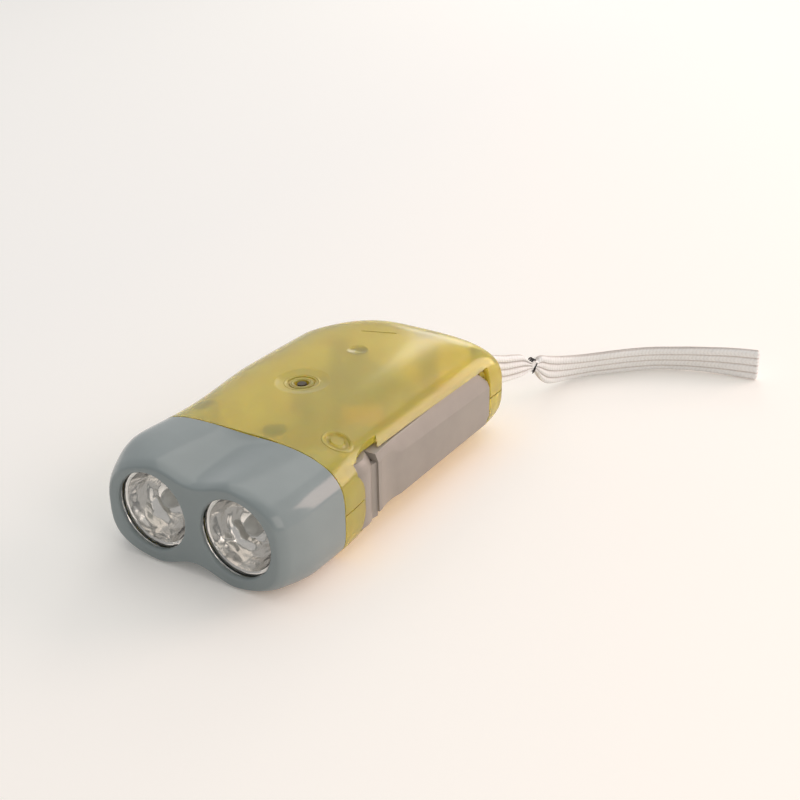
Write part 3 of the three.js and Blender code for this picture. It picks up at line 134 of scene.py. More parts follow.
class TorchStudio(bpy.types.PropertyGroup):
    """The camera, and the powers of the lamps."""

    azimuth: rotation("Azimuth", 32.72, "Camera's turn to the right")
    elevation: rotation("Elevation", 26.52, "Camera's height angle")
    roll: rotation("Roll", -1.17, "Camera's roll")
    distance: length("Distance", 389.2, "From the camera to the point it looks at")
    lens: number("Focal length", 66.56, "In millimetres on a 36 mm sensor", 1)
    overhead: number("Overhead light", 1.5, "Power of the large lamp above")
    window: number("Window light", 2.7, "Power of the lamp behind and to the right")
    rear: number("Rear light", 0.55, "Power of the low lamp behind and to the left")
    side: number("Side light", 0.75, "Power of the lamp on the right")
    sky: number("Surround", 0.65, "Strength of the even light all round")


def entries(group):
    """The names of a group's own properties."""
    return [n for n in group.bl_rna.properties.keys() if n not in ("rna_type", "name")]


def sizes():
    """The sizes in millimetres, by name."""
    group = bpy.context.scene.torch_sizes
    found = {name: getattr(group, name) for name in entries(group)}
    lengths = {n: v if isinstance(v, int) else v / MM for n, v in found.items()}
    return SimpleNamespace(**lengths)


def colours():
    return bpy.context.scene.torch_colours


# ---- shader helpers


def node(tree, kind, values=None, **settings):
    """Adds a shader node with its settings; values are numbers for inputs, or outputs to link."""
    made = tree.nodes.new(kind)
    for name, value in settings.items():
        setattr(made, name, value)
    for name, value in (values or {}).items():
        if isinstance(value, bpy.types.NodeSocket):
            tree.links.new(value, made.inputs[name])
        else:
            made.inputs[name].default_value = value
    return made


def blank_material(name, **sockets):
    """A material with one principled shader whose sockets are set by name."""
    made = bpy.data.materials.new(name)
    made.use_nodes = True
    shader = made.node_tree.nodes["Principled BSDF"]
    for socket, value in sockets.items():
        shader.inputs[socket.replace("_", " ")].default_value = value
    return made, made.node_tree, shader


def rgba(values):
    return (*values, 1)


def place_on(tree):
    """Coordinates of a surface in its piece's own frame."""
    return node(tree, "ShaderNodeTexCoord").outputs["Object"]


def cloud(tree, where, size, detail, **more):
    """A cloudy pattern with features of a size in millimetres."""
    values = {"Vector": where, "Scale": 1 / (size * MM), "Detail": detail, **more}
    return node(tree, "ShaderNodeTexNoise", values).outputs["Fac"]


def bands(tree, where, pitch, direction="DIAGONAL"):
    """Soft bands a pitch in millimetres apart; a unit is 20 radians, or 10 on a diagonal's axes."""
    turns = 20 if direction == "Z" else 10 * math.sqrt(3)
    values = {"Vector": where, "Scale": 2 * math.pi / (turns * pitch * MM)}
    return node(tree, "ShaderNodeTexWave", values, bands_direction=direction).outputs["Fac"]


def ramp(tree, value, low, high, start=0, end=1):
    """A colour that runs from low to high while a value runs from start to end."""
    made = node(tree, "ShaderNodeValToRGB", {"Fac": value})
    first, last = made.color_ramp.elements
    first.color, last.color = rgba(low), rgba(high)
    first.position, last.position = start, end
    return made.outputs["Color"]


def blend(tree, share, low, high):
    """A mix of two colours by a share."""
    values = {"Factor": share, "A": low, "B": high}
    return node(tree, "ShaderNodeMix", values, data_type="RGBA").outputs["Result"]


def sum_up(tree, operation, *values):
    """The outcome of a sum with numbers or outputs."""
    return node(tree, "ShaderNodeMath", dict(enumerate(values)), operation=operation).outputs[0]


def ranged(tree, value, start, end, smooth=False):
    """A share that runs from 0 to 1 while a value runs from start to end."""
    made = node(tree, "ShaderNodeMapRange", {"Value": value, "From Min": start, "From Max": end})
    if smooth:
        made.interpolation_type = "SMOOTHSTEP"
    return made.outputs["Result"]


def bumped(tree, shader, height, strength, depth):
    """Raises a pattern on a surface by a depth in millimetres."""
    values = {"Height": height, "Strength": strength, "Distance": depth * MM}
    bump = node(tree, "ShaderNodeBump", values)
    tree.links.new(bump.outputs["Normal"], shader.inputs["Normal"])


def mottled(tree, shader, base, amount, size, grain=0, grain_size=1):
    """Drives a base colour that wanders a little, and a fine bump of moulded grain."""
    where = place_on(tree)
    low, high = [c * (1 - amount) for c in base], [min(c * (1 + amount), 1) for c in base]
    tint = ramp(tree, cloud(tree, where, size, 3), low, high, 0.3, 0.7)
    tree.links.new(tint, shader.inputs["Base Color"])
    if grain:
        bumped(tree, shader, cloud(tree, where, grain_size, 2), grain, 0.1)
    return where


def plain(name, *pattern, banded=None, **sockets):
    """A material of one mottled colour, with bands of a pitch, strength and depth if given."""
    made, tree, shader = blank_material(name, **sockets)
    where = mottled(tree, shader, *pattern)
    if banded:
        pitch, strength, depth = banded
        bumped(tree, shader, bands(tree, where, pitch), strength, depth)
    return made


# ---- materials


def polished_abs():
    """Moulded ABS from a polished tool: an even cool grey with a clear, slightly wavy gloss."""
    gloss = {"Roughness": 0.13, "IOR": 1.54}
    return plain("polished moulded ABS", colours().cap, 0.03, 9, 0.05, 2.5, **gloss)


def satin_abs():
    """Moulded ABS from a blasted tool: a warm grey with a soft, fine-grained sheen."""
    return plain("satin moulded ABS", colours().lever, 0.04, 6, 0.2, 0.5, Roughness=0.36, IOR=1.54)


def tinted_polycarbonate():
    """Moulded tinted polycarbonate: milky yellow and glossy, with what lies inside just showing."""
    return plain(
        "tinted moulded polycarbonate", colours().shell, 0.05, 14, 0.05, 2.2,
        Roughness=0.16, IOR=1.58, Specular_IOR_Level=0.34, Transmission_Weight=0.68,
        Subsurface_Weight=0.6, Subsurface_Radius=(0.9, 0.7, 0.25), Subsurface_Scale=2 * MM,
    )


def painted_glow_polycarbonate_edge():
    """Rounded edge of the tinted polycarbonate: a lighter colour and a painted glow.

    They stand for the light gathered by the wall that leaves here.
    """
    return plain(
        "tinted polycarbonate cut edge", colours().shell_edge_glow, 0.06, 3,
        Roughness=0.2, IOR=1.58, Transmission_Weight=0.3,
        Subsurface_Weight=0.5, Subsurface_Radius=(0.9, 0.7, 0.2), Subsurface_Scale=2 * MM,
        Emission_Color=rgba(colours().shell_edge_glow), Emission_Strength=0.12,
    )


def clear_acrylic():
    """Moulded clear acrylic: colourless, with a faint waviness from the mould."""
    made, tree, shader = blank_material(
        "moulded clear acrylic", Roughness=0.02, IOR=1.49, Transmission_Weight=1,
        Base_Color=(1, 1, 1, 1),
    )
    bumped(tree, shader, cloud(tree, place_on(tree), 5, 1), 0.4, 0.4)
    return made


def metallised_bowl():
    """Vapour-metallised plastic: a bright mirror, with broad ripples where the plastic shrank."""
    made, tree, shader = blank_material("vapour metallised plastic", Roughness=0.14, Metallic=1)
    where = mottled(tree, shader, linear("#F4F1EC"), 0.04, 4)
    bumped(tree, shader, cloud(tree, where, 5.5, 0.6, Distortion=1.8), 0.35, 1)
    return made


def cast_epoxy():
    """Cast clear epoxy: the glassy dome of a diode."""
    clear = {"Roughness": 0.2, "IOR": 1.53, "Transmission_Weight": 0.35}
    return plain("cast clear epoxy", linear("#F4F5EE"), 0.02, 2, **clear)


def phosphor():
    """Silicone loaded with phosphor: the pale yellow dot in a white diode."""
    return plain("phosphor in silicone", linear("#EDE8C8"), 0.06, 0.3, Roughness=0.5)


def solder_mask():
    """Glass-fibre board under green solder mask, with the weave just showing."""
    weave = (1.27, 0.2, 0.05)
    green = linear("#2F6B46")
    return plain("solder masked glass fibre", green, 0.12, 2, banded=weave, Roughness=0.35)


def moulded_nylon():
    """Moulded natural nylon: creamy white and waxy."""
    return plain(
        "moulded natural nylon", linear("#E9E5D8"), 0.03, 4, 0.1, 0.6, Roughness=0.42,
        Subsurface_Weight=0.3, Subsurface_Radius=(0.6, 0.6, 0.5), Subsurface_Scale=1 * MM,
    )


def moulded_black():
    """Moulded black nylon: matt, with a faint grey bloom."""
    return plain("moulded black nylon", linear("#2C2C2E"), 0.2, 2, 0.15, 0.5, Roughness=0.5)


def drawn_steel():
    """Drawn steel rod and wire: bright, with a fine roughness left by the die."""
    made, tree, shader = blank_material("drawn steel", Roughness=0.27, Metallic=1)
    where = mottled(tree, shader, linear("#BFC1C3"), 0.06, 1.5)
    bumped(tree, shader, cloud(tree, where, 0.35, 3), 0.15, 0.03)
    return made


def blackened_steel():
    """Turned steel, blackened in oil: dark brown-grey with a dull shine."""
    dull = {"Roughness": 0.4, "Metallic": 0.8}
    return plain("oil blackened steel", linear("#544C42"), 0.15, 1.5, 0.2, 0.4, **dull)


def zinc_casting():
    """Die-cast zinc, darkened: a grey-black with a slightly grainy skin."""
    dull = {"Roughness": 0.45, "Metallic": 0.7}
    return plain("darkened zinc casting", linear("#3A3A3D"), 0.2, 2.5, 0.3, 0.4, **dull)


def pressed_ferrite():
    """Pressed and ground ferrite: dark grey, matt and slightly chalky."""
    return plain("pressed ferrite", linear("#4B4C50"), 0.15, 1.2, 0.4, 0.25, Roughness=0.6)


def stacked_laminations():
    """Stamped steel sheets, stacked and riveted: thin dark lines 1 mm apart up the edge."""
    made, tree, shader = blank_material("stacked steel laminations", Roughness=0.4, Metallic=1)
    sheets = bands(tree, place_on(tree), 0.987, "Z")
    tint = ramp(tree, sheets, linear("#4A4B4E"), linear("#8B8D91"), end=0.3)
    tree.links.new(tint, shader.inputs["Base Color"])
    return made


def enamelled_copper():
    """Enamelled copper wire, layer wound: bright turns, drawn 0.8 mm apart so that they show."""
    return plain(
        "enamelled copper winding", linear("#C07A3C"), 0.1, 2, banded=(0.798, 0.7, 0.15),
        Roughness=0.3, Metallic=1, Coat_Weight=0.5,
    )


def extruded_vinyl(label, code):
    """Extruded vinyl insulation: soft, smooth and a little shiny."""
    return plain(f"extruded {label} vinyl", linear(code), 0.08, 1.5, 0.1, 0.3, Roughness=0.35)


# The braid's stitches: slant, roundness, fuzz, where their painted shade lies,
# and the share of a groove that takes painted shade.
STITCH_SLANT, STITCH_ROUNDNESS, FUZZ, SHADE_SPAN, GROOVE_SHADE_SHARE = 1.3, 0.55, 0.35, (0.12, 0.42), 0.16


def cotton_braid():
    """Machine-braided cotton: white, with V stitches 1.1 mm long.

    The low parts of the stitches and the grooves between the ribs take painted shade.
    """
    soft = {"Roughness": 0.85, "Sheen_Weight": 0.25, "Sheen_Roughness": 0.5}
    made, tree, shader = blank_material("machine braided cotton", **soft)
    flat = node(tree, "ShaderNodeUVMap", uv_map="braid").outputs["UV"]
    split = node(tree, "ShaderNodeSeparateXYZ", {"Vector": flat}).outputs
    arm = sum_up(tree, "PINGPONG", split["Y"], 0.5)
    slant = sum_up(tree, "MULTIPLY_ADD", arm, STITCH_SLANT, split["X"])
    stitch = sum_up(tree, "POWER", sum_up(tree, "PINGPONG", slant, 0.5), STITCH_ROUNDNESS)
    fuzz = cloud(tree, place_on(tree), 0.35, 4)
    height = sum_up(tree, "MULTIPLY_ADD", fuzz, FUZZ, stitch)
    # The V stitches are the braid's own pattern; their low parts take painted shade.
    yarn_with_shade = ramp(tree, height, colours().braid_shade, colours().braid, *SHADE_SPAN)
    # Painted shade: the grooves between the ribs take a darker colour.
    tint = blend(tree, ranged(tree, arm, GROOVE_SHADE_SHARE, 0), yarn_with_shade, rgba(colours().braid_groove_shade))
    tree.links.new(tint, shader.inputs["Base Color"])
    bumped(tree, shader, height, 0.6, 0.3)
    return made


def spun_thread(name, base):
    """Spun sewing thread: matt, with its twist just showing."""
    twist = (0.912, 0.5, 0.08)
    return plain(name, base, 0.15, 0.5, banded=twist, Roughness=0.8, Sheen_Weight=0.2)


# How far the seen table is lifted, and where its painted cool tint and its painted glow
# begin and end, in metres.
LIFT, GLOW_LIFT = 0.14, 0.12
COOL_TO_WARM = (-0.15, 0.12)
GLOW_OUT, GLOW_IN, GLOW_ALONG = (0.045, 0.026), (0.01, 0.02), (0.07, 0.03)


def painted_board():
    """Sprayed matt board for a studio table: almost white, with a painted cooler tint away from
    the warm window lamp.

    Beside the torch a painted warm glow stands for the light that comes through the tinted shells."""
    made, tree, shader = blank_material("matt sprayed studio board", Roughness=0.8)
    split = node(tree, "ShaderNodeSeparateXYZ", {"Vector": place_on(tree)}).outputs
    x, away = split["X"], sum_up(tree, "ABSOLUTE", split["Y"])
    # Painted warmth: the table's tint runs cooler away from the window lamp.
    warm = ranged(tree, x, *COOL_TO_WARM)
    far, close, lit = [rgba(getattr(colours(), n)) for n in ("table_painted_cool", "table", "glow")]
    tint = blend(tree, warm, far, close)
    tree.links.new(tint, shader.inputs["Base Color"])
    rays = node(tree, "ShaderNodeLightPath").outputs
    seen = sum_up(tree, "MAXIMUM", rays["Is Camera Ray"], rays["Is Glossy Ray"])
    seen = sum_up(tree, "MAXIMUM", seen, rays["Is Transmission Ray"])
    # Painted glow: warm emission in a patch along the torch's right side.
    glow = ranged(tree, x, *GLOW_OUT, smooth=True)
    for value, span in ((x, GLOW_IN), (away, GLOW_ALONG)):
        glow = sum_up(tree, "MULTIPLY", glow, ranged(tree, value, *span, smooth=True))
    strength = sum_up(tree, "MULTIPLY_ADD", glow, GLOW_LIFT, LIFT)
    lift = sum_up(tree, "MULTIPLY", seen, strength)
    tint = blend(tree, glow, close, lit)
    tree.links.new(tint, shader.inputs["Emission Color"])
    tree.links.new(lift, shader.inputs["Emission Strength"])
    return made


# ---- mesh helpers


def placed(points):
    """Moves points from the torch's own frame in millimetres to the row frame in metres."""
    middle = sizes().middle
    return [((x + middle) * MM, y * MM, z * MM) for x, y, z in points]


def piece(name, shapes, materials, smooth=30):
    """One mesh object from shapes of (points, faces) or (points, faces, material number)."""
    points, faces, marks = [], [], []
    for shape in shapes:
        start = len(points)
        points += shape[0]
        faces += [[start + i for i in face] for face in shape[1]]
        marks += [shape[2] if len(shape) > 2 else SURFACE] * len(shape[1])
    mesh = bpy.data.meshes.new(name)
    mesh.from_pydata(placed(points), [], faces)
    mesh.polygons.foreach_set("material_index", marks)
    for material in materials:
        mesh.materials.append(material)
    shape = bmesh.new()
    shape.from_mesh(mesh)
    bmesh.ops.recalc_face_normals(shape, faces=shape.faces)
    shape.to_mesh(mesh)
    shape.free()
    made = bpy.data.objects.new(name, mesh)
    bpy.context.scene.collection.objects.link(made)
    soften(made, smooth)
    return made


def soften(made, angle=30):
    """Shades smoothly across edges flatter than an angle."""
    made.data.shade_smooth()
    made.data.set_sharp_from_angle(angle=math.radians(angle))


def skin(rings, close=True):
    """Joins rings of equal point counts; the ends are closed by flat faces."""
    count = len(rings[0])
    points = [p for ring in rings for p in ring]
    faces = []
    for r in range(len(rings) - 1):
        for i in range(count):
            j = (i + 1) % count
            faces.append([r * count + i, r * count + j, (r + 1) * count + j, (r + 1) * count + i])
    if close:
        faces.append(list(range(count))[::-1])
        faces.append([(len(rings) - 1) * count + i for i in range(count)])
    return points, faces


def circle(count, shift=0):
    """Cosine and sine of equal steps round a full turn."""
    turns = [2 * math.pi * (i + shift) / count for i in range(count)]
    return [(math.cos(turn), math.sin(turn)) for turn in turns]


def lathe(profile, centre, axis="z", sides=64):
    """Turns a closed profile of (radius, distance) about an axis through a centre point."""
    points, faces, rings = [], [], []
    for radius, distance in profile:
        ring = []
        for c, q in circle(sides)[: sides if radius > 0 else 1]:
            u, v = radius * c, radius * q
            offset = (u, v, distance) if axis == "z" else (u, distance, -v)
            ring.append(len(points))
            points.append(tuple(a + b for a, b in zip(centre, offset)))
        rings.append(ring)
    pairs = list(zip(rings, rings[1:] + rings[:1]))
    if profile[0][0] == 0:
        pairs = pairs[:-1]
    for low, high in pairs:
        for i in range(sides):
            j = (i + 1) % sides
            corners = [(low, i), (low, j), (high, j), (high, i)]
            face = list(dict.fromkeys(ring[k % len(ring)] for ring, k in corners))
            if len(face) > 2:
                faces.append(face)
    return points, faces


def prism(outline, low, high):
    """An outline seen from above, raised between two heights."""
    return skin([[(x, y, z) for x, y in outline] for z in (low, high)])


def block(low, high):
    (x0, y0, z0), (x1, y1, z1) = low, high
    return prism([(x0, y0), (x1, y0), (x1, y1), (x0, y1)], z0, z1)


def carve(target, joins=(), cuts=()):
    """Joins shapes to a piece and cuts others out of it."""
    tools = []
    for operation, shapes in (("UNION", joins), ("DIFFERENCE", cuts)):
        for shape in shapes:
            tools.append(piece("tool", [shape], target.data.materials))
            modifier = target.modifiers.new(operation.lower(), "BOOLEAN")
            modifier.operation, modifier.solver = operation, "MANIFOLD"
            modifier.object = tools[-1]
    settle(target)
    for tool in tools:
        bpy.data.objects.remove(tool)
    soften(target)


def settle(target):
    """Applies a piece's modifiers to its mesh."""
    graph = bpy.context.evaluated_depsgraph_get()
    mesh = bpy.data.meshes.new_from_object(target.evaluated_get(graph))
    target.modifiers.clear()
    target.data = mesh


def bevel(target, width, angle=50, segments=2):
    """Rounds a piece's sharp edges by a width in millimetres."""
    modifier = target.modifiers.new("round edges", "BEVEL")
    modifier.width, modifier.segments = width * MM, segments
    modifier.limit_method, modifier.angle_limit = "ANGLE", math.radians(angle)
    return modifier


def stands_for(made, body, slot, *nodes):
    """Lets a piece ride on a body in the place of solid nodes, which it hides; slot is not used."""
    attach(made, body)
    if nodes:
        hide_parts(*nodes)


def finish_nodes(material, *names, smooth=30):
    """Gives carried-over solid nodes a material, and smooth shading over their facets."""
    for name in names:
        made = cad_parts[name]
        made.data.materials.clear()
        made.data.materials.append(material)
        soften(made, smooth)


# ---- form of the body

# Distances are from the lamp face; a power says how square the section is, 2 being an ellipse.
LEFT_TAPER, LEFT_TAPER_LENGTH = 3.8, 18
RIGHT_TAPER, RIGHT_TAPER_LENGTH = 1.9, 12
FRONT_ROUND, FRONT_ROUND_LENGTH, FRONT_EDGE = 0.9, 2.9, 0.45
FRONT_FADE = 14
WAIST_DEPTH, WAIST_PLACE, WAIST_SPAN = 2.1, 31, 27.5
LEVER_INSET, LEVER_INSET_FROM, LEVER_INSET_SPAN = 0.9, 24, 12
JAW_END, JAW_FADE = 31, 7
TAIL_LENGTH, TAIL_CORNER, TAIL_HEIGHT_LENGTH = 20, 2.75, 12
TAIL_POWER, TAIL_HEIGHT_POWER, TAIL_REACH = 1.8, 3.5, 0.985
UNDER_CROWN, ROOF_CROWN, VALLEY_DEPTH, VALLEY_FADE = 0.6, 0.25, 3, 0.5
POWER_LEFT, POWER_LEFT_FRONT, POWER_LEFT_TAIL = 4.8, 2.5, 3.9
POWER_RIGHT, POWER_RIGHT_TAIL = 3.1, 3.8
POWER_HEAD_UNDER, POWER_FRONT_UNDER = 5, 3.4
POWER_TAIL_FROM, POWER_TAIL_SPAN = 50, 50
RING_POINTS, RING_STEP, CLOSE_TAIL = 160, 1.2, 9
FRONT_STEPS = (0.07, 0.14, 0.22, 0.3, 0.38, 0.5, 0.62, 0.75, 0.88, 1)
TAIL_STEPS = (1, 0.9, 0.8, 0.71, 0.62, 0.53, 0.45, 0.37, 0.3, 0.23, 0.16, 0.1, 0.05, 0.02)


def eased(value, start, span):
    """Rises softly from 0 at a start to 1 a span further on."""
    t = min(max((value - start) / span, 0), 1)
    return t * t * (3 - 2 * t)


def mix(first, second, share):
    return first + (second - first) * share


def fading(back, span, power=2):
    """Falls from 1 at the lamp face to 0 a span behind it."""
    return max(1 - back / span, 0) ** power


def into_tail(s, back, span):
    """How far into the last span of the body a place lies, 1 being its end."""
    return (back - s.body_length + span) / span


def rounded(t, power):
    return (1 - min(max(t, 0), 1) ** power) ** (1 / power)


def front_round(back):
    """How far the lamp end is rounded off: a long easing, and a small radius at the very edge."""
    easing = FRONT_ROUND * fading(back, FRONT_ROUND_LENGTH)
    edge = 1 - min(back / FRONT_EDGE, 1)
    return easing + FRONT_EDGE * (1 - math.sqrt(1 - edge**2))


def section_power(back, lever_side, under):
    """How square the body's section is at a place along it."""
    at_front = 1 - eased(back, 0, FRONT_FADE)
    side = POWER_RIGHT if lever_side else mix(POWER_LEFT, POWER_LEFT_FRONT, at_front)
    at_tail = POWER_RIGHT_TAIL if lever_side else POWER_LEFT_TAIL
    power = mix(side, at_tail, eased(back, POWER_TAIL_FROM, POWER_TAIL_SPAN))
    head = 1 - eased(back, JAW_END, JAW_FADE) if under else 0
    return mix(power, mix(POWER_HEAD_UNDER, POWER_FRONT_UNDER, at_front), head)


def half_width(s, back, lever_side):
    if lever_side:
        taper = RIGHT_TAPER * fading(back, RIGHT_TAPER_LENGTH)
        inset = LEVER_INSET * eased(back, LEVER_INSET_FROM, LEVER_INSET_SPAN)
        inset += TAIL_CORNER * (1 - rounded(into_tail(s, back, TAIL_CORNER), 2))
        return s.right_reach - taper - front_round(back) - inset
    taper = LEFT_TAPER * fading(back, LEFT_TAPER_LENGTH)
    waist = WAIST_DEPTH * (1 + math.cos(math.pi * min(abs(back - WAIST_PLACE) / WAIST_SPAN, 1))) / 2
    side = s.left_reach - taper - front_round(back) - waist
    return side * rounded(TAIL_REACH * into_tail(s, back, TAIL_LENGTH), TAIL_POWER)


def half_height(s, back):
    sweep = TAIL_REACH * into_tail(s, back, TAIL_HEIGHT_LENGTH)
    return (s.height / 2 - front_round(back)) * rounded(sweep, TAIL_HEIGHT_POWER)


def body_ring(s, y, inset):
    """Ring of points round the body at one place, set in from the outer skin."""
    middle = s.height / 2
    back = max(y + s.body_length / 2, 0) * s.body_length / (s.body_length - inset)
    valley = VALLEY_DEPTH * fading(back, s.cap_length, VALLEY_FADE)
    high = half_height(s, back) - inset
    ring = []
    for across, up in circle(RING_POINTS, 0.5):
        wide = half_width(s, back, across > 0) - inset
        tall = high if up > 0 else high + UNDER_CROWN
        power = section_power(back, across > 0, up < 0)
        reach = ((abs(across) / wide) ** power + (abs(up) / tall) ** power) ** (-1 / power)
        x = reach * across
        near = abs(x) < s.lamp_spacing / 2
        fold = math.cos(math.pi * x / s.lamp_spacing) ** 2 if near else 0
        crown = ROOF_CROWN * (x / wide) ** 2 if up > 0 else 0
        ring.append((x, y, max(middle + reach * up * (1 - valley * fold / middle) - crown, inset)))
    return ring


def stations(start, end, step):
    count = max(round((end - start) / step), 1)
    return [start + (end - start) * i / count for i in range(count + 1)]


def body_loft(s, inset, start, end):
    """The body's skin between two places, with close rings where it turns in."""
    front, tail = -s.body_length / 2, s.body_length / 2
    places = [front + FRONT_ROUND_LENGTH * t * t for t in FRONT_STEPS]
    places += [tail - CLOSE_TAIL * t * t for t in TAIL_STEPS]
    first, last = front + FRONT_ROUND_LENGTH, tail - CLOSE_TAIL
    places += [y for y in stations(start, end, RING_STEP) if first < y < last]
    inside = [y for y in places if start < y < end]
    return skin([body_ring(s, y, inset) for y in sorted({start, end, *inside})][::-1])


def roof(s, x, y):
    """Height of the outer skin over a place."""
    back = y + s.body_length / 2
    share = abs(x) / half_width(s, back, x > 0)
    rise = half_height(s, back) * rounded(share, section_power(back, x > 0, False))
    return s.height / 2 + rise - ROOF_CROWN * share**2


# ---- places inside the body

PIVOT = (18.3, -17.9)
GEAR_AXIS = (-5.7, 1.5)
WHEEL_AXIS = (-3.9, 24.3)
LEVER_BOTTOM, LEVER_TOP, LEVER_END = 5.6, 21.1, 41.8
LEVER_FLANGE, BARREL, BARREL_DROP, BARREL_RISE = 4, 7.8, 1.2, 0.3
SHOULDER = ((0, 2.4), (0.81, 0.9), (1.5, 0))
PANEL_FRONT = -12.5
FACE_FROM, FACE_SET_BACK, SHARP_EDGE = 22.6, 1.5, 24
# Round marks in the roof: place, radius, then depth, or thickness and height over the roof.
DISHES = [(GEAR_AXIS, 7.3, 0.7), (WHEEL_AXIS, 2.6, 0.4)]
RIDGES = [
    (GEAR_AXIS, 4.4, 0.42, -0.75), (GEAR_AXIS, 2.5, 0.36, -0.85), (PIVOT, 3.5, 0.4, -0.22),
    (WHEEL_AXIS, 1.2, 0.3, -0.6),
]
GROOVES = [(PIVOT, 2.3, 0.75, 0.15), (GEAR_AXIS, 3.4, 0.3, -0.65)]
AXLE_HOLE, AXLE_HOLE_ENDS = 1.9, (10, 40)
SCORE, SCORE_RADIUS, SCORE_RISE, SCORE_STEPS = ((-10, 34.9), (-0.5, 38.1)), 0.34, 0.08, 16
SCREWS = [(-19.5, -19.5), (3.6, -22.5), (-19.6, 37.5), (6, 43)]
SCREW_POST, WELL, WELL_TOP = 3, 2.7, 5.3
# Bosses: place, radius, and the height at which they end.
UPPER_BOSSES = [(PIVOT, 2.6, 17.3), (GEAR_AXIS, 3.2, 12.3), (WHEEL_AXIS, 2.9, 19.9)]
LOWER_BOSSES = [(GEAR_AXIS, 3.2, 5.8), (WHEEL_AXIS, 3.2, 5.5)]
LOCK_SLOT = ((8.7, 31.3, -2), (17.3, 40.9, 1.7))
STRAP_SLOT = ((18, 41, 11), (22, 51.5, 22.7))
ARCH_FROM, ARCH_ROUND, ARCH_TO, ARCH_SLANT = -20.3, -11.1, -7.6, -14.3
ARCH_INNER, ARCH_WIDTH, ARCH_STEPS = 22.25, 4.2, 24
SHELL_ROUNDING, SHELL_SHARP, LEVER_ROUNDING, LEVER_SMOOTH = 0.3, 40, 0.4, 17
OUTSIDE, FAR, HAIR, PAST = 30, 60, 0.01, 1
DISH_STEPS, DISH_LIP, DISH_CLEAR = 10, 0.3, 1.5


def dish(s, place, radius, depth):
    """The cap of a large ball sunk into the roof, with a soft lip."""
    ball = (radius**2 + depth**2) / (2 * depth)
    base = roof(s, *place) - depth
    radii = [radius * i / DISH_STEPS for i in range(DISH_STEPS + 1)]
    bowl = [(r, base + ball - math.sqrt(ball**2 - r**2)) for r in radii]
    top = base + depth + DISH_CLEAR
    return lathe([*bowl, (radius + DISH_LIP, top), (0, top)], (*place, 0), sides=96)


def ring_on_roof(s, place, radius, thick, rise):
    """A round-sectioned ring that follows the roof at a height over it."""
    around, section = 96, 16
    rings = []
    for c, q in circle(around):
        ring = []
        for side, up in circle(section):
            out = radius + thick * side
            x, y = place[0] + out * c, place[1] + out * q
            ring.append((x, y, roof(s, x, y) + rise + thick * up))
        rings.append(ring)
    points, faces = skin([*rings, rings[0]], close=False)
    count = around * section
    return points[:count], [[i % count for i in face][::-1] for face in faces]


def arch_notch():
    """Notch over the lever's front end: a quarter ellipse, a straight edge and a slant back out."""
    outer = OUTSIDE - 2
    points = [(outer, ARCH_FROM)]
    for i in range(ARCH_STEPS + 1):
        turn = math.pi / 2 * i / ARCH_STEPS
        x = ARCH_INNER + ARCH_WIDTH * (1 - math.sin(turn))
        points.append((x, ARCH_ROUND - (ARCH_ROUND - ARCH_FROM) * math.cos(turn)))
    points += [(ARCH_INNER, ARCH_TO), (outer, ARCH_SLANT)]
    return prism(points[::-1], LEVER_TOP - PAST, OUTSIDE)


def barrel(gap):
    """Section of the lever's barrel with its sloped shoulder, grown by a gap."""
    low, high = LEVER_BOTTOM - BARREL_DROP - gap, LEVER_TOP + BARREL_RISE + gap
    shoulder = [(BARREL + gap - cut, high - drop) for cut, drop in SHOULDER]
    return [(0, low), (BARREL + gap, low), *shoulder, (0, high)]


def lever_room(s):
    """Room for the lever in the side of both shells, with a round way for its barrel."""
    gap = s.seam
    low, high = LEVER_BOTTOM - gap, LEVER_TOP + gap
    inner = s.lever_face - s.lever_wall - LEVER_FLANGE
    behind = high + BARREL_RISE - SHOULDER[0][1]
    return [
        block((inner, PIVOT[1], low), (OUTSIDE, LEVER_END + gap, high)),
        block((*PIVOT, low - BARREL_DROP), (OUTSIDE, PANEL_FRONT + gap, behind)),
        lathe(barrel(gap), (*PIVOT, 0), sides=96),
    ]


def post(place, radius, low, high):
    return lathe([(0, low), (radius, low), (radius, high), (0, high)], (*place, 0), sides=32)


# ---- strap

# Each row: x, y, z of the braid's middle, its lean in degrees, and its share of the full width.
STRAP_ROUTE = [
    (20, 45, 17.6, 0, 1), (20.1, 47, 17.3, 0, 1), (20.5, 50, 16.5, 0, 0.99),
    (21.1, 53.5, 15.2, 0, 0.95), (21.9, 57, 14.1, 0, 0.9), (22.8, 60.8, 13.3, 0, 0.83),
    (23.6, 64.5, 12.5, 0, 0.7), (24.2, 67.2, 11.6, 0, 0.35), (24.8, 69.8, 10.5, 0, 0.35),
    (25.3, 72, 9.3, 2, 0.8), (26, 75, 7.5, 6, 0.97), (26.9, 78.5, 6.2, 9, 1),
    (28.3, 82.5, 5.3, 14, 1), (30.3, 86.6, 4.7, 19, 1), (33.2, 90.6, 4.5, 22, 1),
    (36.8, 94.3, 4.5, 21, 1), (40.3, 97.8, 4.5, 21, 1), (44.1, 101.2, 4.5, 21, 1),
    (47.9, 104, 4.5, 22, 1), (51.9, 106.2, 4.5, 21, 1), (56.3, 108.1, 4.6, 18, 1),
    (60.8, 109.7, 4.65, 14, 1), (65.3, 111.1, 4.7, 8, 1), (70.1, 112.3, 4.7, 1, 1),
    (74.4, 113.2, 4.7, -3, 1),
]
ROUTE_END = len(STRAP_ROUTE) - 1
ROUTE_STEPS, NEARBY = 180, 0.02
NEW_RISE, WORN_RISE, WORN_FROM, WORN_SPAN = 1.2, 0.5, 8.5, 5
RIB_STEPS, RIB_ROUNDNESS, LAYER_GAP = 8, 0.7, 0.05
BACK_STEPS, BACK_SHARE = 6, 0.96
RIM_SQUARENESS, RIM_SHARE = 14, 0.25
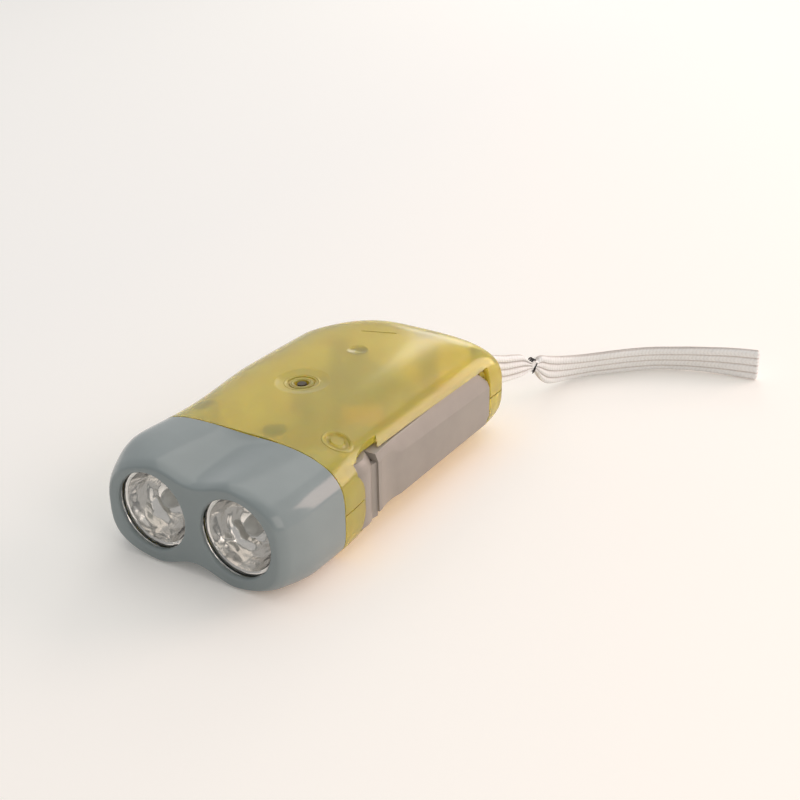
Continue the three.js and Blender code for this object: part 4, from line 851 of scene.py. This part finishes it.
FOLD, FOLD_RIB, FOLD_INNER, FOLD_SINK, FOLD_STEPS, FOLD_HEIGHTS = 0.62, 0.1, 0.9, 0.1, 12, 32
STITCH, TAB_STITCH = 1.1, 1.6
CLASP_AT, CLASP_SPAN = 7.5, 0.3
TAB_HALF_LENGTH, TAB_STEPS, TAB_SIDES, TAB_SQUARENESS = 1.2, 12, 48, 5
TAB_SWELL, SWELL_OUT, SWELL_UP, SWELL_LEAST, TAB_SLANT = 0.75, 0.55, 0.4, 0.05, 0.3
# Thread: where each stitch sits up and along the tab, its length, slant and bow, and the tuft.
SEWN = ((0.15, 0.2), (-0.45, -0.1), (-0.8, 0.15))
SEWN_OUT, SEWN_LENGTH, SEWN_SLANT, SEWN_BOW, SEWN_THIN = 0.37, 1.9, 0.8, 0.25, 0.6
TUFT_THREADS, TUFT_START, TUFT_LENGTH, TUFT_SPREAD, TUFT_ARC = 3, 0.6, 1.9, 0.35, 0.5
TUFT_STAGGER, TUFT_OUT, TUFT_THIN, SEWN_STEPS, TUFT_STEPS = 0.3, 0.3, 0.8, 8, 10


def blended(values, t):
    """Smooth line through the second and third of four values."""
    a, b, c, d = values
    square, cube = 2 * a - 5 * b + 4 * c - d, 3 * b - a - 3 * c + d
    return 0.5 * (2 * b + (c - a) * t + square * t * t + cube * t**3)


def route_values(place, first, last):
    """Some of the route's columns, smoothly between its points, by place in the list."""
    i = min(max(int(place), 0), ROUTE_END - 1)
    near = [STRAP_ROUTE[min(max(i + k, 0), ROUTE_END)][first:last] for k in (-1, 0, 1, 2)]
    return blended([Vector(values) for values in near], place - i)


def route_point(place):
    return route_values(place, 0, 3)


def strap_frame(place):
    """A place's point, directions across, up the leaning face and along, and width share."""
    point = route_point(place)
    ahead = route_point(min(place + NEARBY, ROUTE_END)) - route_point(max(place - NEARBY, 0))
    ahead.z = 0
    ahead.normalize()
    level = Vector((ahead.y, -ahead.x, 0))
    lean, share = route_values(place, 3, 5)
    over, up = math.sin(math.radians(lean)), math.cos(math.radians(lean))
    return point, Vector((*(level * up).xy, -over)), Vector((*(level * over).xy, up)), ahead, share


def edge_share(v):
    """How thick the braid is at a height from 0 to 1: full, and thin at both rims."""
    return max(1 - abs(2 * v - 1) ** RIM_SQUARENESS, RIM_SHARE)


def braid_ring(s, place, side):
    """Section of one layer: an outer face with ribs, flatter where it is worn, and a flat back."""
    point, across, up, _, share = strap_frame(place)
    half = s.strap_width / 2 * share
    across = across * side
    rise = s.rib_height * mix(NEW_RISE, WORN_RISE, eased(place, WORN_FROM, WORN_SPAN))
    ring = []
    count = s.strap_ribs * RIB_STEPS
    for i in range(count + 1):
        v = i / count
        lobe = abs(math.sin(math.pi * s.strap_ribs * v)) ** RIB_ROUNDNESS
        out = LAYER_GAP + HAIR + (s.strap_layer - rise * 0.5 + rise * lobe) * edge_share(v)
        ring.append(point + across * out + up * half * (2 * v - 1))
    for i in range(BACK_STEPS + 1):
        ring.append(point + across * LAYER_GAP + up * half * BACK_SHARE * (1 - 2 * i / BACK_STEPS))
    return ring if side > 0 else ring[::-1]


# ---- operators

# Lamps: name, place in metres, size and colour.
LAMPS = (
    ("overhead", (-0.15, 0.3, 0.85), 0.9, "#FFFBF4"),
    ("window", (0.5, 0.7, 0.34), 0.5, "#FFDFD3"),
    ("rear", (-0.3, 0.78, 0.33), 0.26, "#FFF8EA"),
    ("side", (0.6, -0.16, 0.32), 0.4, "#FFF3EA"),
)
TABLE_HALF, TABLE_THICK = 4000, 6
CAMERA_AIM, LAMP_AIM, SENSOR = (7.99, 25.71, 14.55), (0, 0, 0.01), 36
SKY_FRONT, SKY_BACK = 0.5, 1.2


class TORCH_OT_studio(bpy.types.Operator):
    """Make the camera, the pale table and the soft lamps"""

    bl_idname = "torch.studio"
    bl_label = "Studio"

    def execute(self, context):
        studio = context.scene.torch_studio
        self.aim_camera(context, studio)
        low, high = (-TABLE_HALF, -TABLE_HALF, -TABLE_THICK), (TABLE_HALF, TABLE_HALF, -HAIR)
        board = piece("studio_table", [block(low, high)], [painted_board()])
        for name, place, size, code in LAMPS:
            self.light(context, f"{name} lamp", place, size, getattr(studio, name), linear(code))
        self.surround(context, studio.sky)
        context.scene.view_settings.view_transform = "Standard"
        return {"FINISHED"}

    def surround(self, context, strength):
        """An even white surround, a little dimmer before the lamps than behind the torch."""
        world = bpy.data.worlds.new("even studio surround")
        context.scene.world = world
        world.use_nodes = True
        tree = world.node_tree
        direction = node(tree, "ShaderNodeTexCoord").outputs["Generated"]
        split = node(tree, "ShaderNodeSeparateXYZ", {"Vector": direction})
        ends = {"To Min": strength * SKY_FRONT, "To Max": strength * SKY_BACK}
        values = {"Value": split.outputs["Y"], "From Min": -1, **ends}
        slope = node(tree, "ShaderNodeMapRange", values)
        inputs = tree.nodes["Background"].inputs
        tree.links.new(slope.outputs["Result"], inputs["Strength"])
        inputs["Color"].default_value = rgba(linear("#FFFFFF"))

    def aim_camera(self, context, studio):
        a, e, r = studio.azimuth, studio.elevation, studio.roll
        back = Vector((math.sin(a) * math.cos(e), -math.cos(a) * math.cos(e), math.sin(e)))
        level = Vector((math.cos(a), math.sin(a), 0))
        upright = back.cross(level)
        right = level * math.cos(r) + upright * math.sin(r)
        up = upright * math.cos(r) - level * math.sin(r)
        target = Vector(placed([CAMERA_AIM])[0])
        camera = bpy.data.objects.new("camera", bpy.data.cameras.new("camera"))
        context.scene.collection.objects.link(camera)
        turn = Matrix((right, up, back)).transposed().to_4x4()
        camera.matrix_world = Matrix.Translation(target + back * studio.distance) @ turn
        camera.data.lens, camera.data.sensor_width = studio.lens, SENSOR
        camera.data.clip_start, camera.data.clip_end = 0.01, 20
        context.scene.camera = camera

    def light(self, context, name, place, size, power, tint):
        lamp = bpy.data.lights.new(name, "AREA")
        lamp.shape, lamp.size, lamp.energy, lamp.color = "SQUARE", size, power, tint
        made = bpy.data.objects.new(name, lamp)
        made.location = place
        aim = Vector(LAMP_AIM) - made.location
        made.rotation_euler = aim.to_track_quat("-Z", "Y").to_euler()
        context.scene.collection.objects.link(made)


class TORCH_OT_strap(bpy.types.Operator):
    """Make the doubled flat braid and its sewn clasp"""

    bl_idname = "torch.strap"
    bl_label = "Wrist strap"

    def execute(self, context):
        s = sizes()
        cotton = cotton_braid()
        places = [ROUTE_END * i / ROUTE_STEPS for i in range(ROUTE_STEPS + 1)]
        layers = [skin([braid_ring(s, place, side) for place in places]) for side in (1, -1)]
        strap = piece("strap_braid", [*layers, self.fold(s)], [cotton], smooth=60)
        self.lay_stitches(s, strap, places)
        path = placed([route_point(p) for p in places])
        clasp = self.clasp(s, cotton)
        stands_for(strap, "housing", "braid", "wrist_strap")
        return {"FINISHED"}

    def fold(self, s):
        """The rounded fold of the loop at the far end."""
        point, across, up, ahead, _ = strap_frame(ROUTE_END)
        reach, half = s.strap_layer + FOLD_RIB, s.strap_width / 2
        ends = [point + up * half * FOLD_INNER * side - ahead * FOLD_SINK for side in (1, -1)]
        rings = []
        for i in range(FOLD_STEPS + 1):
            turn = math.pi * (i / FOLD_STEPS - 0.5)
            out = across * math.sin(turn) + ahead * FOLD * math.cos(turn)
            ring = []
            for v in stations(0, 1, 1 / FOLD_HEIGHTS):
                lobe = FOLD_RIB * abs(math.sin(math.pi * s.strap_ribs * v))
                ring.append(point + out * (reach + lobe) * edge_share(v) + up * half * (2 * v - 1))
            rings.append([*ring, *ends])
        return skin(rings)

    def lay_stitches(self, s, strap, places):
        """Flat coordinates for the stitches: lengths of stitch along the braid, ribs across it."""
        frames = [strap_frame(p) for p in places]
        line = [Vector(point) / MM for point in placed([made[0] for made in frames])]
        lengths = [0]
        for a, b in zip(line, line[1:]):
            lengths.append(lengths[-1] + (b - a).length)
        spots = []
        for vertex in strap.data.vertices:
            where = vertex.co / MM
            near = min(range(len(line)), key=lambda i: (line[i].xy - where.xy).length_squared)
            up, share = frames[near][2], frames[near][4]
            rise = (where - line[near]).dot(up) / (s.strap_width * share) + 0.5
            spots.append((lengths[near] / STITCH, rise * s.strap_ribs))
        self.lay_flat(strap, spots)

    def lay_flat(self, made, spots):
        """Gives a braided piece its flat coordinates, one for each of its points."""
        layer = made.data.uv_layers.new(name="braid")
        for loop in made.data.loops:
            layer.data[loop.index].uv = spots[loop.vertex_index]

    def clasp(self, s, cotton):
        """A folded tab of braid sewn round both layers, with a few dark stitches."""
        point, across, _, _, share = strap_frame(CLASP_AT)
        before, after = route_point(CLASP_AT - CLASP_SPAN), route_point(CLASP_AT + CLASP_SPAN)
        slope = (after - before).normalized()
        up = across.cross(slope).normalized()
        if up.z < 0:
            up = -up
        half = s.strap_width / 2 * share
        rings = []
        for place in stations(-1, 1, 2 / TAB_STEPS):
            swell = TAB_SWELL * math.sqrt(max(1 - place**4, SWELL_LEAST))
            middle = point + slope * place * TAB_HALF_LENGTH
            wide = across * (s.strap_layer + swell * SWELL_OUT)
            tall = up * (half + swell * SWELL_UP)
            ring = []
            for c, q in circle(TAB_SIDES):
                r = (abs(c) ** TAB_SQUARENESS + abs(q) ** TAB_SQUARENESS) ** (-1 / TAB_SQUARENESS)
                ring.append(middle + wide * c * r + tall * q * r)
            rings.append(ring)
        tab = piece("clasp_tab", [skin(rings)], [cotton], smooth=60)
        points = [vertex.co / MM for vertex in tab.data.vertices]
        spots = [(p.z / STITCH, (p.y + p.x * TAB_SLANT) / TAB_STITCH) for p in points]
        self.lay_flat(tab, spots)
        stands_for(tab, "housing", "braid", "strap_clasp")
        black = spun_thread("spun black polyester thread", colours().black_thread)
        shapes = self.stitches(s, point, across, slope, up, half)
        stitches = piece("clasp_stitches", shapes, [black], smooth=80)
        stands_for(stitches, "housing", "braid")
        return [tab, stitches]

    def stitches(self, s, point, across, slope, up, half):
        """Short loops of dark thread down the tab's outer face, and a loose tuft at its top."""
        deep = s.strap_layer + SEWN_OUT
        shapes = []
        for v, w in SEWN:
            line = []
            for t in stations(0, 1, 1 / SEWN_STEPS):
                out = across * (deep + SEWN_BOW * math.sin(math.pi * t))
                rise = up * (v * half + (t - 0.5) * SEWN_LENGTH)
                line.append(point + out + rise + slope * (w + (t - 0.5) * SEWN_SLANT))
            shapes.append(rope(line, s.thread * SEWN_THIN))
        for k in range(TUFT_THREADS):
            line = []
            for t in stations(0, 1, 1 / TUFT_STEPS):
                arc = TUFT_ARC * math.sin(math.pi * t) - TUFT_SPREAD * t * k
                back = slope * (TUFT_START + TUFT_LENGTH * t - TUFT_STAGGER * k)
                out = across * (TUFT_OUT + TUFT_SPREAD * k)
                line.append(point - back + out + up * (half + TUFT_SPREAD + arc))
            shapes.append(rope(line, s.thread * TUFT_THIN))
        return shapes


# A direction that no rope runs along, and how far a rope narrows at its ends.
ASKEW, NARROWED = (0.3, 0.2, 1), 0.5


def rope(line, radius, sides=8):
    """A round tube along a line of points, closed at its ends."""
    rings = []
    for i, point in enumerate(line):
        ahead = (line[min(i + 1, len(line) - 1)] - line[max(i - 1, 0)]).normalized()
        side = ahead.cross(Vector(ASKEW)).normalized()
        lift = side.cross(ahead)
        thin = radius * (NARROWED if i in (0, len(line) - 1) else 1)
        rings.append([point + (side * c + lift * q) * thin for c, q in circle(sides)])
    return skin(rings)


LIP, LIP_OUT, FACE_WALL = 0.55, 0.15, 3
LENS_SEAT, SEAT_FROM, SEAT_TO = 10.65, 1.2, 4


class TORCH_OT_cap(bpy.types.Operator):
    """Make the moulded lamp cap"""

    bl_idname = "torch.cap"
    bl_label = "Lamp cap"

    def execute(self, context):
        s = sizes()
        front = -s.body_length / 2
        end = front + s.cap_length - s.seam / 2
        gloss = polished_abs()
        cap = piece("lamp_cap", [body_loft(s, 0, front, end)], [gloss, gloss])
        openings = [self.opening(s, front, side * s.lamp_spacing / 2) for side in (-1, 1)]
        hollow = body_loft(s, s.wall, front + FACE_WALL, end + PAST)
        carve(cap, cuts=[hollow, *openings])
        stands_for(cap, "housing", "grey_cap", "front_cap")
        return {"FINISHED"}

    def opening(self, s, front, x):
        """Cutter for one lamp: a rounded lip, the bore, and the seat behind it for the lens."""
        r, wide = s.lamp_opening, s.lamp_opening + LIP + LIP_OUT
        profile = [(0, front - PAST), (wide, front - PAST), (wide, front)]
        for turn in [math.pi / 2 * t for t in (0.2, 0.4, 0.6, 0.8, 1)]:
            profile.append((r + LIP * (1 - math.sin(turn)), front + LIP * (1 - math.cos(turn))))
        profile += [(r, front + SEAT_FROM), (LENS_SEAT, front + SEAT_FROM)]
        profile += [(LENS_SEAT, front + SEAT_TO), (0, front + SEAT_TO)]
        return lathe(profile, (x, 0, s.lamp_height), axis="y", sides=128)


class TORCH_OT_shells(bpy.types.Operator):
    """Make the two translucent shells"""

    bl_idname = "torch.shells"
    bl_label = "Shells"

    def execute(self, context):
        s = sizes()
        finishes = [tinted_polycarbonate(), painted_glow_polycarbonate_edge()]
        for upper, node_name in ((True, "top_shell"), (False, "bottom_shell")):
            shell = self.half(s, upper, finishes)
            # The rounded edges take the second finish: lighter, with a painted glow.
            bevel(shell, SHELL_ROUNDING, angle=SHELL_SHARP).material = EDGE
            stands_for(shell, "housing", "yellow_shell", node_name)
        return {"FINISHED"}

    def half(self, s, upper, finishes):
        """One shell, hollowed and parted, with its posts, its marks and its openings."""
        front, tail = -s.body_length / 2, s.body_length / 2
        start, rim = front + s.cap_length + s.seam / 2, self.rim(s, upper)
        name = "upper_shell_skin" if upper else "lower_shell_skin"
        shell = piece(name, [body_loft(s, 0, start, tail)], finishes)
        hollow = body_loft(s, s.wall, start - PAST, tail - s.wall)
        away = (-FAR, rim) if upper else (rim, FAR)
        carve(shell, cuts=[hollow, block((-FAR, -FAR, away[0]), (FAR, FAR, away[1]))])
        carve(shell, joins=self.posts(s, upper))
        notch = [arch_notch()] if upper else []
        cuts = [*lever_room(s), *notch, block(*STRAP_SLOT)]
        if upper:
            carve(shell, cuts=[dish(s, *d) for d in DISHES])
            carve(shell, joins=[ring_on_roof(s, *r) for r in RIDGES])
            cuts += [ring_on_roof(s, *g) for g in GROOVES]
            cuts += [post(GEAR_AXIS, AXLE_HOLE, *AXLE_HOLE_ENDS), self.score(s)]
        else:
            wells = [post(place, WELL, -PAST, WELL_TOP) for place in SCREWS]
            cuts += [*wells, block(*LOCK_SLOT)]
        carve(shell, cuts=cuts)
        return shell

    def rim(self, s, upper):
        """Height of a shell's edge at the parting line."""
        return s.parting + (s.seam / 2 if upper else -s.seam / 2)

    def posts(self, s, upper):
        """Screw posts and bosses, each ending inside the wall that carries it."""
        inside, rim = s.wall / 2, self.rim(s, upper)
        if upper:
            spots = [*UPPER_BOSSES, *[(place, SCREW_POST, rim + HAIR) for place in SCREWS]]
            return [post(p, r, low, self.under_roof(s, p, r) - inside) for p, r, low in spots]
        spots = [*LOWER_BOSSES, *[(place, SCREW_POST, rim - HAIR) for place in SCREWS]]
        return [post(place, r, inside, high) for place, r, high in spots]

    def under_roof(self, s, place, radius):
        """The lowest height of the roof over a post's rim."""
        x, y = place
        return min(roof(s, x + radius * c, y + radius * q) for c, q in circle(16))

    def score(self, s):
        """A short shallow line across the roof near the tail."""
        start, end = Vector(SCORE[0]), Vector(SCORE[1])
        spots = [start.lerp(end, t) for t in stations(0, 1, 1 / SCORE_STEPS)]
        line = [Vector((*spot, roof(s, *spot) + SCORE_RISE)) for spot in spots]
        return rope(line, SCORE_RADIUS)


BOWL_FRONT, BOWL_END, NECK, BOWL_WIDE, BOWL_WAVE = -47.55, -38.95, 2.9, 6.3, 0.09
BOWL_RIM = ((9.45, 0.12), (9.6, 0), (10.15, 0), (10.3, 0.15))
BOWL_THICK, BOWL_BACK, BOWL_HOLE, BOWL_LIP, OUTER_FROM = 0.9, 0.35, 3.7, 0.25, 4
BOWL_STEPS, DOME_STEPS = 60, 12
DIODE_BASE, DIODE_SHOULDER, DIODE_RADIUS = -37.65, -42.35, 2.5
COLLAR, COLLAR_EDGE, COLLAR_TOP = 2.8, 0.9, 1
DIE = ((0, -43.1), (0.8, -42.9), (1.05, -42.6), (0.9, -42.1), (0, -42.1))


class TORCH_OT_lamps(bpy.types.Operator):
    """Make the reflectors and diodes, and finish the lenses and board"""

    bl_idname = "torch.lamps"
    bl_label = "Lamps"

    def execute(self, context):
        s = sizes()
        bright, clear, dot = metallised_bowl(), cast_epoxy(), phosphor()
        for side, x in (("left", -s.lamp_spacing / 2), ("right", s.lamp_spacing / 2)):
            centre = (x, 0, s.lamp_height)
            turned = lathe(self.bowl(), centre, axis="y", sides=96)
            bowl = piece(f"{side}_bowl", [turned], [bright], smooth=40)
            stands_for(bowl, "housing", "silvered_reflector", f"{side}_reflector")
            glass, die = lathe(self.dome(), centre, "y", 48), lathe(DIE, centre, "y", 24)
            dome = piece(f"{side}_diode", [glass, (*die, EDGE)], [clear, dot], smooth=40)
            stands_for(dome, "housing", "diode_epoxy", f"{side}_led")
        finish_nodes(clear_acrylic(), "left_lens", "right_lens")
        finish_nodes(solder_mask(), "led_board")
        return {"FINISHED"}

    def bowl(self):
        """Section of a reflector: a flat bright rim, then a parabola down to the neck."""
        deep = BOWL_END - BOWL_FRONT - BOWL_LIP
        shares = stations(0, 1, 1 / BOWL_STEPS)
        inner = [(NECK + BOWL_WIDE * t, BOWL_END - t * t * deep) for t in shares]
        fade = [min(NECK + BOWL_WIDE - r, 1) for r, _ in inner]
        wave = [BOWL_WAVE * math.sin(math.pi * (r - NECK)) for r, _ in inner]
        inner = [(r + w * f, y) for (r, y), w, f in zip(inner, wave, fade)]
        rim = [(r, BOWL_FRONT + back) for r, back in BOWL_RIM]
        widest, behind = BOWL_RIM[-1][0], [(r, y) for r, y in inner[::-4] if r > OUTER_FROM]
        outer = [(min(r + BOWL_THICK, widest), y + BOWL_BACK) for r, y in behind]
        return [*inner, *rim, *outer, (BOWL_HOLE, BOWL_END)]

    def dome(self):
        """Section of a diode's lens, its collar and its base."""
        r, base = DIODE_RADIUS, DIODE_BASE
        turns = stations(0, math.pi / 2, math.pi / 2 / DOME_STEPS)
        dome = [(r * math.sin(t), DIODE_SHOULDER - r * math.cos(t)) for t in turns]
        collar = [(r, base - COLLAR_TOP), (COLLAR, base - COLLAR_EDGE), (COLLAR, base)]
        return [*dome, *collar, (0, base)]


class TORCH_OT_lever(bpy.types.Operator):
    """Make the squeeze lever's moulding with rounded edges, and finish the lock"""

    bl_idname = "torch.lever"
    bl_label = "Squeeze lever"

    def execute(self, context):
        satin = satin_abs()
        finish_nodes(satin, "lock_slider", smooth=28)
        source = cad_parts["squeeze_lever"]
        lever = bpy.data.objects.new("lever_moulding", source.data.copy())
        lever.matrix_world = source.matrix_world.copy()
        context.scene.collection.objects.link(lever)
        lever.data.materials.clear()
        lever.data.materials.append(satin)
        self.mark_edges(lever)
        rounding = bevel(lever, LEVER_ROUNDING, segments=3)
        rounding.limit_method, rounding.use_clamp_overlap = "WEIGHT", False
        settle(lever)
        soften(lever, LEVER_SMOOTH)
        stands_for(lever, "lever", "grey_lever", "squeeze_lever")
        return {"FINISHED"}

    def mark_edges(self, lever):
        """Marks the sharp edges of the face that the hand feels, behind the barrel."""
        face, sharp = FACE_FROM + sizes().middle, math.radians(SHARP_EDGE)
        shape = bmesh.new()
        shape.from_mesh(lever.data)
        bmesh.ops.remove_doubles(shape, verts=shape.verts, dist=0.001 * MM)
        flat = math.radians(1)
        bmesh.ops.dissolve_limit(shape, angle_limit=flat, verts=shape.verts, edges=shape.edges)
        weight = shape.edges.layers.float.new("bevel_weight_edge")
        for edge in shape.edges:
            ends = [lever.matrix_world @ v.co / MM for v in edge.verts]
            outside = all(e.x > face and e.y > PANEL_FRONT + FACE_SET_BACK for e in ends)
            if outside and len(edge.link_faces) == 2 and edge.calc_face_angle() > sharp:
                edge[weight] = 1
        shape.to_mesh(lever.data)
        shape.free()


class TORCH_OT_works(bpy.types.Operator):
    """Finish the gears, the flywheel, the magnet and the generator"""

    bl_idname = "torch.works"
    bl_label = "Works"

    def execute(self, context):
        finish_nodes(moulded_nylon(), "double_gear", "clutch_pinion")
        finish_nodes(zinc_casting(), "flywheel")
        finish_nodes(pressed_ferrite(), "ring_magnet")
        finish_nodes(stacked_laminations(), "stator_core")
        finish_nodes(moulded_black(), "coil_bobbin")
        finish_nodes(enamelled_copper(), "coil_winding")
        finish_nodes(extruded_vinyl("red", "#B3262A"), "red_lead", smooth=60)
        finish_nodes(extruded_vinyl("black", "#1F1F20"), "black_lead", smooth=60)
        return {"FINISHED"}


class TORCH_OT_fixings(bpy.types.Operator):
    """Finish the pins, axles, spring and screws"""

    bl_idname = "torch.fixings"
    bl_label = "Fixings"

    def execute(self, context):
        steel = drawn_steel()
        screws = [f"{end}_{side}_screw" for end in ("front", "rear") for side in ("left", "right")]
        screws += ["stator_screw_1", "stator_screw_2"]
        finish_nodes(steel, "lever_pin", "flywheel_axle", "strap_bar", *screws)
        finish_nodes(blackened_steel(), "gear_axle")
        finish_nodes(steel, "return_spring", smooth=75)
        return {"FINISHED"}


STEPS = (
    TORCH_OT_studio, TORCH_OT_strap, TORCH_OT_cap, TORCH_OT_shells, TORCH_OT_lamps,
    TORCH_OT_lever, TORCH_OT_works, TORCH_OT_fixings,
)


class TORCH_PT_panel(bpy.types.Panel):
    """Lists the torch's pieces and its sizes and colours"""

    bl_label = "Squeeze torch"
    bl_space_type = "VIEW_3D"
    bl_region_type = "UI"
    bl_category = "Torch"

    def draw(self, context):
        for step in STEPS:
            self.layout.operator(step.bl_idname)
        for group in [getattr(context.scene, name) for name in GROUPS]:
            box = self.layout.box()
            for name in entries(group):
                box.prop(group, name)


GROUPS = {"torch_sizes": TorchSizes, "torch_colours": TorchColours, "torch_studio": TorchStudio}


def register():
    for made in (*GROUPS.values(), *STEPS, TORCH_PT_panel):
        bpy.utils.register_class(made)
    for name, group in GROUPS.items():
        setattr(bpy.types.Scene, name, PointerProperty(type=group))


def unregister():
    for name in GROUPS:
        delattr(bpy.types.Scene, name)
    for made in (TORCH_PT_panel, *STEPS[::-1], *GROUPS.values()):
        bpy.utils.unregister_class(made)


def main():
    register()
    for step in STEPS:
        group, action = step.bl_idname.split(".")
        getattr(getattr(bpy.ops, group), action)()


if __name__ == "__main__":
    main()
